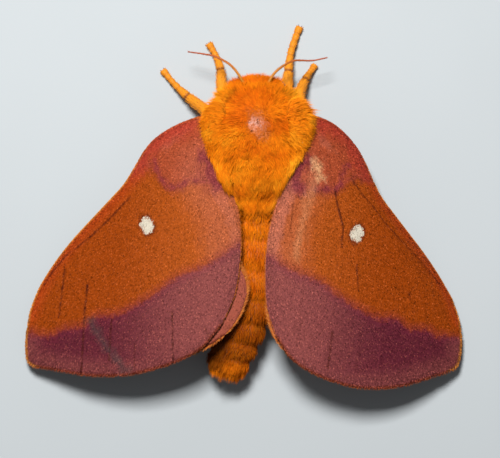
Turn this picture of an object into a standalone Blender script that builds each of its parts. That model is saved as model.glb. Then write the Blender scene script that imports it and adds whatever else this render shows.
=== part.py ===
"""A female pink-striped oakworm moth at rest, life size, standing on a flat floor.

Metres, +Z up, head towards +Y, with the floor at z = 0. The four wings are folded
back over the body like a low tent, and the feet of six legs carry it. Every node is
one closed solid with a small gap to its neighbours. The long coat of the thorax and
abdomen is made as flat tapered locks, fused with the core that they grow from.
"""

import math
import random

import bpy
import bmesh
from mathutils import Vector

MM = 0.001
GAP = 0.3 * MM

# Thorax: the widest place of the core under the coat, half sizes across, to the front and up, and the reach to the back
THORAX_CENTRE = Vector((1.25, 7.1, 5.6)) * MM
THORAX_HALF = Vector((4.3, 3.8, 3.5)) * MM
THORAX_BACK = 6.7 * MM

# Head, and one eye's radius and place from the middle of the head
HEAD_CENTRE = Vector((1.3, 10.9, 4.7)) * MM
HEAD_HALF = Vector((2.3, 1.6, 1.8)) * MM
EYE_RADIUS = 0.85 * MM
EYE_OFFSET = Vector((2.05, 0.3, -0.55)) * MM

# Coat: how far it stands out of the core, and how tightly a lock bends round the core
THORAX_COAT = 1.2 * MM
THORAX_BEND = 6.5 * MM
ABDOMEN_COAT = 0.5 * MM
ABDOMEN_BEND = 60.0 * MM

# Locks: a lock's length, width and thickness, how deep it is rooted, and how many each node has
THORAX_LOCK = (2.6 * MM, 1.35 * MM, 0.6 * MM)
ABDOMEN_LOCK = (2.3 * MM, 1.4 * MM, 0.55 * MM)
LOCK_ROOT = 0.8 * MM
LOCKS = {"thorax": 88, "abdomen_base": 19, "abdomen_middle": 19, "abdomen_end": 19}
BRUSH_COUNT = 13
BRUSH_LENGTH = 1.35 * MM
BRUSH_RADIUS = 0.45 * MM

# Wings: each is a curved patch laid out from its root, its apex and its tornus
WING_THICKNESS = 0.5 * MM
WING_CAMBER = 1.3 * MM
HINDWING_DROP = 0.92 * MM
VEIN_HEIGHT = 0.16 * MM
VEIN_HALF_WIDTH = 0.022
SIDES = {
    "left": {
        "root": Vector((-3.20, 7.13, 8.0)) * MM,
        "apex": Vector((-20.72, -14.5, 1.1)) * MM,
        "tornus": Vector((-2.85, -12.30, 7.0)) * MM,
        "costa_fold": 0.0,
        "costa_drop": 1.4 * MM,
        "outer_bulge": 0.0,
        "hind_tuck": Vector((0.0, 0.0)),
    },
    "right": {
        "root": Vector((5.96, 7.13, 8.0)) * MM,
        "apex": Vector((20.70, -14.3, 1.1)) * MM,
        "tornus": Vector((3.80, -13.20, 7.0)) * MM,
        "costa_fold": 0.34,
        "costa_drop": 1.8 * MM,
        "outer_bulge": 0.045,
        "hind_tuck": Vector((0.07, -0.055)),
    },
}

# A wing's edges, each point in shares of the way from root to apex and from root to tornus
FORE_EDGES = {
    "costa": [(-0.05, -0.03), (0.05, -0.12), (0.17, -0.213), (0.27, -0.27), (0.335, -0.28), (0.41, -0.252),
              (0.46, -0.244), (0.56, -0.26), (0.75, -0.29), (0.87, -0.281), (0.94, -0.246), (0.978, -0.195)],
    "outer": [(0.978, -0.195), (1.0, -0.1), (1.0, -0.01), (0.97, 0.07), (0.85, 0.22), (0.66, 0.455),
              (0.465, 0.668), (0.32, 0.802), (0.176, 0.917), (0.05, 0.99), (-0.05, 0.995)],
    "inner": [(-0.07, 0.14), (-0.095, 0.3), (-0.128, 0.44), (-0.153, 0.58), (-0.16, 0.7), (-0.152, 0.81),
              (-0.122, 0.93), (-0.05, 0.995)],
}
HIND_EDGES = {
    "costa": [(-0.04, 0.13), (0.1, 0.03), (0.3, -0.035), (0.47, -0.035), (0.56, 0.0), (0.61, 0.07)],
    "outer": [(0.61, 0.07), (0.625, 0.17), (0.6, 0.28), (0.52, 0.43), (0.39, 0.63), (0.22, 0.85), (0.05, 1.0),
              (-0.07, 1.065)],
    "inner": [(-0.065, 0.22), (-0.11, 0.42), (-0.145, 0.62), (-0.165, 0.8), (-0.19, 0.93), (-0.18, 1.01),
              (-0.135, 1.06), (-0.07, 1.065)],
}

# Veins: each one's place across the wing from costa to inner margin, and where along the wing its ridge begins
FORE_VEINS = [(0.07, 0.05), (0.19, 0.05), (0.33, 0.5), (0.45, 0.52), (0.57, 0.5), (0.69, 0.05), (0.81, 0.42),
              (0.93, 0.05)]
HIND_VEINS = [(0.12, 0.05), (0.36, 0.42), (0.56, 0.42), (0.76, 0.05), (0.92, 0.05)]
WINGS = {
    "forewing_left": ("left", FORE_EDGES, FORE_VEINS, 14),
    "hindwing_left": ("left", HIND_EDGES, HIND_VEINS, 11),
    "forewing_right": ("right", FORE_EDGES, FORE_VEINS, 14),
    "hindwing_right": ("right", HIND_EDGES, HIND_VEINS, 11),
}

# Abdomen, out to the tips of its coat: its middle line in mm, then half its width and half its height
ABDOMEN_LINE = [
    ((1.15, 1.2, 4.4), 2.6, 2.4),
    ((1.15, -0.9, 4.2), 3.1, 2.75),
    ((1.0, -4.5, 3.8), 3.3, 2.95),
    ((0.5, -8.3, 3.45), 3.15, 2.9),
    ((-0.25, -11.1, 3.15), 2.95, 2.75),
    ((-0.95, -13.5, 2.9), 2.6, 2.5),
    ((-1.45, -15.2, 2.65), 2.2, 2.1),
]
ABDOMEN_SEGMENTS = 8
ABDOMEN_PARTS = {"abdomen_base": (0.0, 0.38), "abdomen_middle": (0.38, 0.7), "abdomen_end": (0.7, 1.0)}
RING_DIP = 0.05

# Legs from hip to foot, and antennae from brow to tip: places in mm, each with the radius there
LEGS = {
    "leg_fore_left": [((0.3, 8.6, 2.9), 0.5), ((-1.5, 9.9, 3.0), 0.55), ((-1.95, 11.3, 2.4), 0.5),
                      ((-2.1, 13.1, 1.45), 0.42), ((-2.5, 14.4, 0.75), 0.37), ((-3.2, 15.7, 0.26), 0.32)],
    "leg_fore_right": [((2.3, 8.6, 2.9), 0.5), ((3.9, 9.9, 3.0), 0.55), ((4.25, 11.3, 2.4), 0.52),
                       ((4.4, 13.0, 1.6), 0.44), ((4.6, 14.6, 1.0), 0.38), ((4.97, 15.9, 0.55), 0.39),
                       ((5.5, 17.35, 0.26), 0.32)],
    "leg_mid_left": [((-0.4, 6.6, 2.6), 0.5), ((-2.9, 8.7, 3.0), 0.55), ((-5.25, 10.6, 1.5), 0.43),
                     ((-6.6, 11.9, 0.75), 0.35), ((-7.65, 13.15, 0.26), 0.32)],
    "leg_mid_right": [((2.9, 6.6, 2.6), 0.5), ((5.15, 9.4, 3.0), 0.55), ((5.45, 10.8, 2.3), 0.47),
                      ((6.0, 12.2, 1.2), 0.38), ((6.95, 13.6, 0.26), 0.32)],
    "leg_hind_left": [((0.2, 4.2, 2.6), 0.5), ((-3.3, 2.6, 3.3), 0.55), ((-4.1, -1.4, 1.4), 0.43),
                      ((-4.2, -3.6, 0.6), 0.36), ((-3.9, -5.8, 0.26), 0.32)],
    "leg_hind_right": [((2.3, 4.2, 2.6), 0.5), ((5.8, 2.6, 3.3), 0.55), ((6.6, -1.4, 1.4), 0.43),
                       ((6.6, -3.6, 0.6), 0.36), ((6.3, -5.8, 0.26), 0.32)],
}
ANTENNAE = {
    "antenna_left": [((0.35, 11.2, 5.9), 0.3), ((-0.4, 12.5, 6.0), 0.29), ((-1.26, 13.46, 5.7), 0.28),
                     ((-2.6, 14.2, 5.1), 0.27), ((-3.9, 14.5, 4.6), 0.22), ((-5.16, 14.7, 4.2), 0.1)],
    "antenna_right": [((2.25, 11.2, 5.9), 0.3), ((2.9, 12.4, 6.0), 0.29), ((3.75, 13.2, 5.7), 0.28),
                      ((4.9, 13.8, 5.1), 0.27), ((6.6, 13.85, 4.5), 0.22), ((8.05, 14.15, 4.2), 0.1)],
}

# Each material's colour and roughness
FINISHES = {
    "coat": ((0.80, 0.24, 0.015, 1.0), 0.85),
    "wing": ((0.50, 0.13, 0.05, 1.0), 0.75),
    "hindwing": ((0.52, 0.16, 0.13, 1.0), 0.75),
    "leg": ((0.82, 0.33, 0.02, 1.0), 0.6),
    "antenna": ((0.55, 0.20, 0.04, 1.0), 0.5),
    "eye": ((0.03, 0.02, 0.015, 1.0), 0.2),
}


def clear_scene():
    for obj in list(bpy.data.objects):
        bpy.data.objects.remove(obj, do_unlink=True)


def collection(name, hidden=False):
    made = bpy.data.collections.new(name)
    bpy.context.scene.collection.children.link(made)
    made.hide_render = hidden
    return made


def material(name):
    made = bpy.data.materials.new(name)
    made.use_nodes = True
    shader = made.node_tree.nodes["Principled BSDF"]
    shader.inputs["Base Color"].default_value, shader.inputs["Roughness"].default_value = FINISHES[name]
    return made


def object_from(name, bm, where):
    """A new object in a collection from the bmesh of a closed solid, with its faces turned outwards."""
    bmesh.ops.recalc_face_normals(bm, faces=bm.faces)
    if bm.calc_volume(signed=True) < 0:
        bmesh.ops.reverse_faces(bm, faces=bm.faces)
    mesh = bpy.data.meshes.new(name)
    bm.to_mesh(mesh)
    bm.free()
    obj = bpy.data.objects.new(name, mesh)
    where.objects.link(obj)
    return obj


def evaluated_mesh(obj):
    """The object's mesh with its modifiers, or a curve's with its bevel, as a mesh of its own."""
    bpy.context.view_layer.update()
    return bpy.data.meshes.new_from_object(obj.evaluated_get(bpy.context.evaluated_depsgraph_get()))


def apply_modifiers(obj):
    mesh = evaluated_mesh(obj)
    obj.modifiers.clear()
    old = obj.data
    obj.data = mesh
    bpy.data.meshes.remove(old)


# Curves and shares

def catmull(p0, p1, p2, p3, t):
    """A point between p1 and p2 on the smooth curve through all four."""
    return 0.5 * (2 * p1 + (p2 - p0) * t + (2 * p0 - 5 * p1 + 4 * p2 - p3) * t ** 2
                  + (3 * p1 - p0 - 3 * p2 + p3) * t ** 3)


def smooth_line(points, shares):
    """The points at these shares of the length of a smooth curve through the given ones, of any dimension."""
    points = [Vector(p) for p in points]
    ends = [2 * points[0] - points[1]] + points + [2 * points[-1] - points[-2]]
    dense = [catmull(*ends[i - 1:i + 3], k / 12) for i in range(1, len(ends) - 2) for k in range(12)]
    dense.append(points[-1])
    return spaced(dense, shares)


def spaced(dense, shares):
    """The points at these shares of a polyline's length."""
    lengths = [0.0]
    for a, b in zip(dense, dense[1:]):
        lengths.append(lengths[-1] + (b - a).length)
    found = []
    k = 0
    for share in shares:
        want = share * lengths[-1]
        while k < len(lengths) - 2 and lengths[k + 1] < want:
            k += 1
        found.append(dense[k].lerp(dense[k + 1], (want - lengths[k]) / (lengths[k + 1] - lengths[k])))
    return found


def smoothstep(x):
    x = min(1.0, max(0.0, x))
    return x * x * (3 - 2 * x)


def golden_turn(k):
    """Angles that spread pieces evenly round an axis."""
    return k * math.pi * (3.0 - math.sqrt(5.0))


# Wings

def wing_point(side, a, t):
    """The middle of the membrane at shares a towards the apex and t towards the tornus."""
    s = SIDES[side]
    fold = 1.0 - s["costa_fold"] * smoothstep(a / 0.5) if t < 0 else 1.0
    p = s["root"] + a * (s["apex"] - s["root"]) + t * fold * (s["tornus"] - s["root"])
    if t > 0:
        p.z += 4 * WING_CAMBER * a * t
    else:
        p.z -= s["costa_drop"] * (t / 0.3) ** 2
    return p


def edge_patch(edges, bulge, rows, columns):
    """Rows of shares that fill a wing's edges: root, costa, outer margin and inner margin."""
    steps = [i / rows for i in range(rows + 1)]
    front = smooth_line(edges["costa"], steps)
    back = smooth_line(edges["inner"], steps)
    rim = smooth_line(edges["outer"], columns)
    patch = []
    for i, u in enumerate(steps):
        line = []
        for j, c in enumerate(columns):
            root = front[0].lerp(back[0], c)
            edge = rim[j] + Vector((0.0, bulge * math.sin(math.pi * c)))
            corners = root.lerp(rim[0].lerp(rim[-1], c), u)
            line.append(front[i].lerp(back[i], c) + root.lerp(edge, u) - corners)
        patch.append(line)
    return patch


def vein_columns(veins):
    """Places across a wing where its grid has lines: both edges, and each vein's crest and feet."""
    marks = [0.0]
    for place, _ in veins:
        marks += [place - VEIN_HALF_WIDTH, place, place + VEIN_HALF_WIDTH]
    return marks + [1.0]


def vein_lift(veins, place, u):
    """How much of a vein's height a grid point has."""
    for at, begins in veins:
        if abs(place - at) < 1e-6:
            return smoothstep((u - begins) / 0.06 + 0.5) * smoothstep((1.0 - u) / 0.05)
    return 0.0


def wing(name, where, plain=False):
    """One wing's solid: a triangulated grid on its middle surface, given thickness. A plain one has no veins."""
    side, edges, veins, rows = WINGS[name]
    columns = [i / 6 for i in range(7)] if plain else vein_columns(veins)
    patch = edge_patch(edges, SIDES[side]["outer_bulge"], rows, columns)
    hind = edges is HIND_EDGES
    tuck = SIDES[side]["hind_tuck"] if hind else Vector((0.0, 0.0))
    bm = bmesh.new()
    bmesh.ops.create_grid(bm, x_segments=len(columns) - 1, y_segments=rows, size=0.5)
    lift = []
    for index, vert in enumerate(bm.verts):
        i, j = divmod(index, len(columns))
        share = patch[i][j] + tuck * patch[i][j].y
        vert.co = wing_point(side, share.x, share.y) - Vector((0.0, 0.0, HINDWING_DROP if hind else 0.0))
        lift.append(0.0 if plain else VEIN_HEIGHT * vein_lift(veins, columns[j], i / rows))
    bmesh.ops.triangulate(bm, faces=bm.faces)
    bmesh.ops.recalc_face_normals(bm, faces=bm.faces)
    bm.normal_update()
    if sum(face.normal.z for face in bm.faces) < 0:
        bmesh.ops.reverse_faces(bm, faces=bm.faces)
        bm.normal_update()
    thicken(bm, WING_THICKNESS / 2, lift)
    return object_from(name + ("_clearance" if plain else ""), bm, where)


def thicken(bm, half, lift):
    """Gives an open sheet its thickness to both sides, with each point's lift added above."""
    middle = [(v, v.co.copy(), v.normal.copy()) for v in bm.verts]
    lower = [bm.verts.new(co - normal * half) for _, co, normal in middle]
    faces = [[v.index for v in face.verts] for face in bm.faces]
    rim = [[loop.vert.index, loop.link_loop_next.vert.index]
           for face in bm.faces for loop in face.loops if loop.edge.is_boundary]
    for (v, co, normal), more in zip(middle, lift):
        v.co = co + normal * (half + more)
    upper = [v for v, _, _ in middle]
    for face in faces:
        bm.faces.new([lower[k] for k in reversed(face)])
    for a, b in rim:
        bm.faces.new([upper[b], upper[a], lower[a]])
        bm.faces.new([upper[b], lower[a], lower[b]])


# Body

def egg(name, centre, half, back, segments, rings, where):
    """An egg: half sizes across, to the front and up, and its own reach to the back."""
    bm = bmesh.new()
    bmesh.ops.create_uvsphere(bm, u_segments=segments, v_segments=rings, radius=1.0)
    for v in bm.verts:
        x, y, z = v.co.x, v.co.z, -v.co.y
        v.co = centre + Vector((x * half.x, y * (half.y if y > 0 else back), z * half.z))
    return object_from(name, bm, where)


def abdomen_at(share):
    """Middle, half width and half height of the abdomen at a share of its length."""
    rows = [Vector((*place, width, height)) * MM for place, width, height in ABDOMEN_LINE]
    rows = [2 * rows[0] - rows[1]] + rows + [2 * rows[-1] - rows[-2]]
    k = share * (len(rows) - 3)
    i = min(len(rows) - 4, int(k))
    found = catmull(*rows[i:i + 4], k - i)
    return Vector(found[:3]), Vector(found[3:])


def abdomen_frame(share):
    """Middle and half sizes of the abdomen at a share of its length, with the ways along, across and up."""
    middle, half = abdomen_at(share)
    ahead, _ = abdomen_at(min(1.0, share + 0.02))
    behind, _ = abdomen_at(max(0.0, share - 0.02))
    along = (ahead - behind).normalized()
    across = along.cross(Vector((0, 0, 1))).normalized()
    return middle, half, along, across, across.cross(along).normalized()


def abdomen_part(name, where, sides=18):
    """The core of one length of the abdomen, pinched in at each joint between segments and closed with flat ends."""
    low, high = ABDOMEN_PARTS[name]
    length = sum((Vector(b[0]) - Vector(a[0])).length for a, b in zip(ABDOMEN_LINE, ABDOMEN_LINE[1:])) * MM
    start = low + (0.5 * GAP / length if low > 0 else 0.0)
    end = high - (0.5 * GAP / length if high < 1 else 0.0)
    steps = max(5, round((high - low) * ABDOMEN_SEGMENTS * 4))
    bm = bmesh.new()
    rings = []
    for step in range(steps + 1):
        share = start + (end - start) * step / steps
        middle, half, _, across, up = abdomen_frame(share)
        pinch = 1.0 - RING_DIP * abs(math.cos(math.pi * ABDOMEN_SEGMENTS * share)) ** 3
        wide, high_ = pinch * (half.x - ABDOMEN_COAT), pinch * (half.y - ABDOMEN_COAT)
        rings.append([])
        for k in range(sides):
            angle = 2 * math.pi * k / sides
            rings[-1].append(bm.verts.new(middle + wide * math.cos(angle) * across + high_ * math.sin(angle) * up))
    for a, b in zip(rings, rings[1:]):
        for k in range(sides):
            n = (k + 1) % sides
            bm.faces.new([a[k], a[n], b[n], b[k]])
    bm.faces.new(rings[0])
    bm.faces.new(list(reversed(rings[-1])))
    return object_from(name, bm, where)


def limb(name, route, where, samples=14):
    """A leg or antenna: a round tube on a smooth route that takes up the listed radii, with a flat on the floor."""
    points = smooth_line([Vector((*place, radius)) * MM for place, radius in route],
                         [i / (samples - 1) for i in range(samples)])
    curve = bpy.data.curves.new(name, "CURVE")
    curve.dimensions = "3D"
    curve.bevel_depth = MM
    curve.bevel_resolution = 2
    curve.use_fill_caps = True
    spline = curve.splines.new("POLY")
    spline.points.add(len(points) - 1)
    for target, p in zip(spline.points, points):
        target.co = (p[0], p[1], p[2], 1.0)
        target.radius = p[3] / MM
    line = bpy.data.objects.new(name + "_line", curve)
    where.objects.link(line)
    mesh = evaluated_mesh(line)
    bpy.data.objects.remove(line)
    bm = bmesh.new()
    bm.from_mesh(mesh)
    bpy.data.meshes.remove(mesh)
    bmesh.ops.remove_doubles(bm, verts=bm.verts, dist=0.001 * MM)
    for v in bm.verts:
        v.co.z = max(0.0, v.co.z)
    return object_from(name, bm, where)


# Coat

def lock(root, out, lie, size, rise, bend):
    """A flat tapered lock: a diamond section swept from inside the core to its tip, bent with the core's curve."""
    length, width, thick = size
    side = out.cross(lie).normalized()
    run = side.cross(out).normalized()

    def middle(s):
        if s < 0:
            return root - out * LOCK_ROOT - run * length * 0.12
        return root + out * (rise * (1.0 - (1.0 - s) ** 2) - (length * s) ** 2 / (2 * bend)) + run * length * s

    bm = bmesh.new()
    rings = []
    for s, share in ((-0.3, 0.8), (0.12, 1.0), (0.58, 0.8)):
        face = (out - run * length * s / bend).normalized() if s > 0 else out
        rings.append([bm.verts.new(middle(s) + share * (side * across * width + face * up * thick) / 2)
                      for across, up in ((1, 0), (0, 1), (-1, 0), (0, -1))])
    end = bm.verts.new(middle(1.0))
    bm.faces.new(rings[0])
    for a, b in zip(rings, rings[1:]):
        for k in range(4):
            bm.faces.new([a[k], a[(k + 1) % 4], b[(k + 1) % 4], b[k]])
    for k in range(4):
        bm.faces.new([rings[-1][k], rings[-1][(k + 1) % 4], end])
    bmesh.ops.triangulate(bm, faces=bm.faces)
    return bm


def vary(size, rng, amount=0.14):
    """The size of one lock, a little off the usual one."""
    length, width, thick = size
    return length * rng.uniform(1 - amount, 1 + amount), width * rng.uniform(1 - amount, 1 + amount), thick


def thorax_locks(rng):
    """Locks all over the thorax that lie away from the brow, out and to the back."""
    pieces = []
    count = LOCKS["thorax"]
    for k in range(count):
        along = 1.0 - 2.0 * (k + 0.5) / count
        ring = math.sqrt(1.0 - along * along)
        turn = golden_turn(k) + rng.uniform(-0.12, 0.12)
        unit = Vector((ring * math.cos(turn), along, ring * math.sin(turn)))
        reach = THORAX_HALF.y if along > 0 else THORAX_BACK
        root = THORAX_CENTRE + Vector((unit.x * THORAX_HALF.x, unit.y * reach, unit.z * THORAX_HALF.z))
        out = Vector((unit.x / THORAX_HALF.x, unit.y / reach, unit.z / THORAX_HALF.z)).normalized()
        spread = 0.25 + 0.9 * max(0.0, along)
        lie = Vector((spread * unit.x + rng.uniform(-0.2, 0.2), -1.0, spread * unit.z + rng.uniform(-0.2, 0.2)))
        pieces.append(lock(root, out, lie, vary(THORAX_LOCK, rng), THORAX_COAT * rng.uniform(0.85, 1.0), THORAX_BEND))
    return pieces


def abdomen_locks(name, rng):
    """Locks round one length of the abdomen that lie to the back."""
    low, high = ABDOMEN_PARTS[name]
    pieces = []
    count = LOCKS[name]
    for k in range(count):
        share = low + (high - low) * (0.10 + 0.62 * (k + 0.5) / count)
        turn = golden_turn(k)
        middle, half, along, across, up = abdomen_frame(share)
        wide, high_ = half.x - ABDOMEN_COAT, half.y - ABDOMEN_COAT
        root = middle + wide * math.cos(turn) * across + high_ * math.sin(turn) * up
        out = (math.cos(turn) / wide * across + math.sin(turn) / high_ * up).normalized()
        lie = along + across * rng.uniform(-0.15, 0.15)
        pieces.append(lock(root, out, lie, vary(ABDOMEN_LOCK, rng), ABDOMEN_COAT * rng.uniform(0.85, 1.0), ABDOMEN_BEND))
    return pieces


def brush(rng):
    """The straight bristles that end the abdomen in a blunt brush."""
    pieces = []
    middle, half, along, across, up = abdomen_frame(1.0)
    inset = ABDOMEN_COAT + 0.05 * MM
    for k in range(BRUSH_COUNT):
        ring = math.sqrt((k + 0.5) / BRUSH_COUNT)
        spread = ring * (across * math.cos(golden_turn(k)) * (half.x - inset) + up * math.sin(golden_turn(k)) * (half.y - inset))
        run = (along + 70.0 * spread).normalized()
        sunk = 1.2 * MM
        pieces.append(bristle(middle + spread - run * sunk, run, sunk + BRUSH_LENGTH * rng.uniform(0.8, 1.0)))
    return pieces


def bristle(root, run, length):
    """A straight pointed lock of the brush."""
    bm = bmesh.new()
    turned = Vector((0, 0, 1)).rotation_difference(run).to_matrix().to_4x4()
    bmesh.ops.create_cone(bm, cap_ends=True, segments=5, radius1=BRUSH_RADIUS, radius2=0.08 * MM, depth=length)
    bmesh.ops.transform(bm, matrix=turned, verts=bm.verts)
    bmesh.ops.translate(bm, vec=root + run * length / 2, verts=bm.verts)
    return bm


def fuse(core, pieces):
    """Joins locks to their core: one Boolean union on the collection of them, which is then removed."""
    heap = collection(core.name + "_locks")
    for index, piece in enumerate(pieces):
        object_from(f"{core.name}_lock_{index}", piece, heap)
    modifier = core.modifiers.new("locks", "BOOLEAN")
    modifier.operation = "UNION"
    modifier.operand_type = "COLLECTION"
    modifier.collection = heap
    apply_modifiers(core)
    for obj in list(heap.objects):
        bpy.data.objects.remove(obj)
    bpy.data.collections.remove(heap)


# Clearances

def grow(bm, distance):
    """Moves every point out along its normal, so that the faces move by the distance."""
    bm.normal_update()
    moved = [(v, v.co + v.normal * distance * min(2.0, v.calc_shell_factor())) for v in bm.verts]
    for v, co in moved:
        v.co = co


def clearance(obj, cutters):
    """A cutter that is larger than the object by the gap on every side. A wing's has no veins."""
    if obj.name in WINGS:
        cutter = wing(obj.name, cutters, plain=True)
    else:
        cutter = bpy.data.objects.new(obj.name + "_clearance", obj.data.copy())
        cutters.objects.link(cutter)
    bm = bmesh.new()
    bm.from_mesh(cutter.data)
    grow(bm, GAP)
    bm.to_mesh(cutter.data)
    bm.free()
    cutter.hide_render = True
    cutter.display_type = "WIRE"
    return cutter


def cut(obj, cutters):
    """Cuts the object by each closed cutter in turn and keeps its largest closed surface."""
    for cutter in cutters:
        modifier = obj.modifiers.new("cut", "BOOLEAN")
        modifier.operation = "DIFFERENCE"
        modifier.object = cutter
    apply_modifiers(obj)
    keep_largest(obj)


def keep_largest(obj):
    """Drops every closed surface of the mesh but the largest."""
    bm = bmesh.new()
    bm.from_mesh(obj.data)
    left = set(bm.verts)
    shells = []
    while left:
        stack = [left.pop()]
        shells.append([])
        while stack:
            v = stack.pop()
            shells[-1].append(v)
            for edge in v.link_edges:
                other = edge.other_vert(v)
                if other in left:
                    left.remove(other)
                    stack.append(other)
    shells.sort(key=len, reverse=True)
    bmesh.ops.delete(bm, geom=[v for shell in shells[1:] for v in shell], context="VERTS")
    bm.to_mesh(obj.data)
    bm.free()


def build():
    clear_scene()
    moth = collection("oakworm_moth")
    cutters = collection("cutters", hidden=True)
    finish = {name: material(name) for name in FINISHES}
    rng = random.Random(7)

    made = {name: (wing(name, moth), name[:8].replace("forewing", "wing")) for name in WINGS}
    made.update({name: (limb(name, route, moth), "leg") for name, route in LEGS.items()})
    made.update({name: (limb(name, route, moth), "antenna") for name, route in ANTENNAE.items()})
    for name, sign in (("eye_left", -1), ("eye_right", 1)):
        centre = HEAD_CENTRE + Vector((sign * EYE_OFFSET.x, EYE_OFFSET.y, EYE_OFFSET.z))
        ball = egg(name, centre, Vector((EYE_RADIUS,) * 3), EYE_RADIUS, 14, 8, moth)
        made[name] = (ball, "eye")
    made.update({name: (abdomen_part(name, moth), "coat") for name in ABDOMEN_PARTS})
    made["head"] = (egg("head", HEAD_CENTRE, HEAD_HALF, HEAD_HALF.y, 18, 12, moth), "coat")
    made["thorax"] = (egg("thorax", THORAX_CENTRE, THORAX_HALF, THORAX_BACK, 24, 18, moth), "coat")

    room = {name: clearance(obj, cutters) for name, (obj, _) in made.items() if name != "thorax"}
    on_head = ["eye_left", "eye_right", *ANTENNAE]
    cut(made["head"][0], [room[name] for name in on_head])

    fuse(made["thorax"][0], thorax_locks(rng))
    cut(made["thorax"][0], [room[name] for name in ("head", *on_head, "abdomen_base", *WINGS, *LEGS)])
    for name, following in (("abdomen_base", "abdomen_middle"), ("abdomen_middle", "abdomen_end"), ("abdomen_end", None)):
        fuse(made[name][0], abdomen_locks(name, rng) + ([] if following else brush(rng)))
        near = [*WINGS, "leg_hind_left", "leg_hind_right"] + ([following] if following else [])
        cut(made[name][0], [room[n] for n in near])

    for obj, slot in made.values():
        obj.data.materials.clear()
        obj.data.materials.append(finish[slot])


build()
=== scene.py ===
"""The looks of a life-size female oakworm moth at rest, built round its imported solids.

One skin stands for the head, thorax and abdomen. Fur, wing scales and fringes are solid
tufts and vanes over it, and finer wings, legs, antennae and eyes take the place of the
solids'. Lengths are in metres, +Y to the head and +Z up, with the floor at z = 0.
"""

import math

import bmesh
import bpy
import numpy as np
from bpy.props import FloatProperty, FloatVectorProperty, IntProperty, PointerProperty
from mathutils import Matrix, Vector


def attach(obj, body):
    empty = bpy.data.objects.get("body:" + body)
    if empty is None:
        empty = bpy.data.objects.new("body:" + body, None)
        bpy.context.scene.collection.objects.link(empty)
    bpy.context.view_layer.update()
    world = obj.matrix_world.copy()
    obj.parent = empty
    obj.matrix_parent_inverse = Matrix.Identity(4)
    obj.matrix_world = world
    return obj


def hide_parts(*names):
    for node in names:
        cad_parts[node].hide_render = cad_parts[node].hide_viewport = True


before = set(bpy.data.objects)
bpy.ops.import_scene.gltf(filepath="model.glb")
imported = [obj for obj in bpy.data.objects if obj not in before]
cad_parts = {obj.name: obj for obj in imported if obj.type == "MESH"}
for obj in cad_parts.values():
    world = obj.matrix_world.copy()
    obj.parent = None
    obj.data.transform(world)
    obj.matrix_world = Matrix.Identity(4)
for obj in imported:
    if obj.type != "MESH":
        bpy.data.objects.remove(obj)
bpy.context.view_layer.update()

bl_info = {
    "name": "Oakworm Moth",
    "version": (1, 0, 0),
    "blender": (4, 5, 0),
    "location": "3D View > Sidebar > Moth",
    "description": "Dresses the solids of a life-size oakworm moth in fur, scales and colour",
    "category": "Object",
}

MM = 0.001
BODY = "root"

# The photograph's frame in pixels, its scale on the floor, and the camera over it
FRAME_SIZE = (500, 458)
PIXEL = 0.0966 * MM
CAMERA_PLACE = (0.7245 * MM, -2.125 * MM, 250.0 * MM)
SENSOR_WIDTH = 36.0
CLIP_START = 0.01

# The stage: the light's place, size and aim, and half the floor's width
LIGHT_PLACE = (-0.025, 0.088, 0.205)
LIGHT_SIZE = 0.05
LIGHT_AIM = (0.0, 0.0, 0.004)
FLOOR_REACH = 1.5

# The first seed of each kind of piece
COAT_SEED, WING_SEED, LEG_SEED, CLAW_SEED, ANTENNA_SEED = 20, 40, 60, 70, 80

# A tuft's patch on the unwrapped surface, its depth under the skin, and a height over every wing
PATCH_SIZE = 0.003
ROOT_DEPTH = 0.12 * MM
ABOVE_ALL = 90 * MM

# Points across and along a wing's fine grid, the width of a hair of its fringe, and the height over
# which the thorax's tufts lie over the wings
WING_GRID = {"fore": (72, 150), "hind": (54, 80)}
FRINGE_WIDTH = 0.07 * MM
OVER_WINGS = 6.9 * MM

# Segments round and along the eggs and the abdomen
EGG_SEGMENTS = {"u_segments": 32, "v_segments": 20}
ABDOMEN_SPHERE = {"u_segments": 36, "v_segments": 160}

# Maps of the wings' heights seen from above: their corner, the size of a cell and the number each way
MAP_CORNER = np.array((-23.0, -20.0)) * MM
MAP_CELL = 0.1 * MM
MAP_CELLS = np.array((460, 330))

# Joints and hairs of an antenna, and points along the line of a limb
ANTENNA_JOINTS = 52
ANTENNA_HAIRS = 1200
ANTENNA_POINTS = 260
LEG_POINTS = 120

# Body forms, as in the part's source: half sizes across, to the front and up, and the thorax's reach back
MIDDLE = 1.25 * MM
WEDGE_START = 2.4 * MM
THORAX_CENTRE = np.array((1.25, 7.1, 5.5)) * MM
THORAX_HALF = np.array((4.1, 3.7, 4.2)) * MM
THORAX_BACK = 6.6 * MM
HEAD_CENTRE = np.array((1.3, 10.9, 4.7)) * MM
HEAD_HALF = np.array((1.9, 0.8, 1.35)) * MM
COLLAR_CENTRE = np.array((1.28, 9.3, 5.5)) * MM
COLLAR_HALF = np.array((3.15, 1.45, 2.4)) * MM
WAIST_CENTRE = np.array((1.25, 1.7, 5.6)) * MM
WAIST_HALF = np.array((1.9, 3.7, 1.7)) * MM
SHOULDER_MIDDLE = MIDDLE + 0.132 * MM
SHOULDER = np.array((3.1, 7.6, 7.75)) * MM
SHOULDER_HALF = np.array((1.1, 1.8, 0.85)) * MM
# The coat's outline from above: at each y the x of its left and of its right border, in mm
OUTLINE = [(-1.7, -0.15, 2.4), (-0.6, -0.4, 2.95), (0.4, -0.65, 3.35), (1.5, -1.0, 3.5), (2.4, -1.6, 3.8),
           (3.3, -1.9, 3.85), (3.95, -2.3, 4.5), (4.75, -3.0, 5.8), (5.4, -3.4, 6.2), (6.5, -4.1, 6.6)]
PALP = np.array((0.55, 0.75, -0.95)) * MM
PALP_HALF = np.array((0.36, 0.55, 0.42)) * MM
EYE_RADIUS = 0.85 * MM
EYE_OFFSET = np.array((2.05, 0.3, -0.55)) * MM

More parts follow.
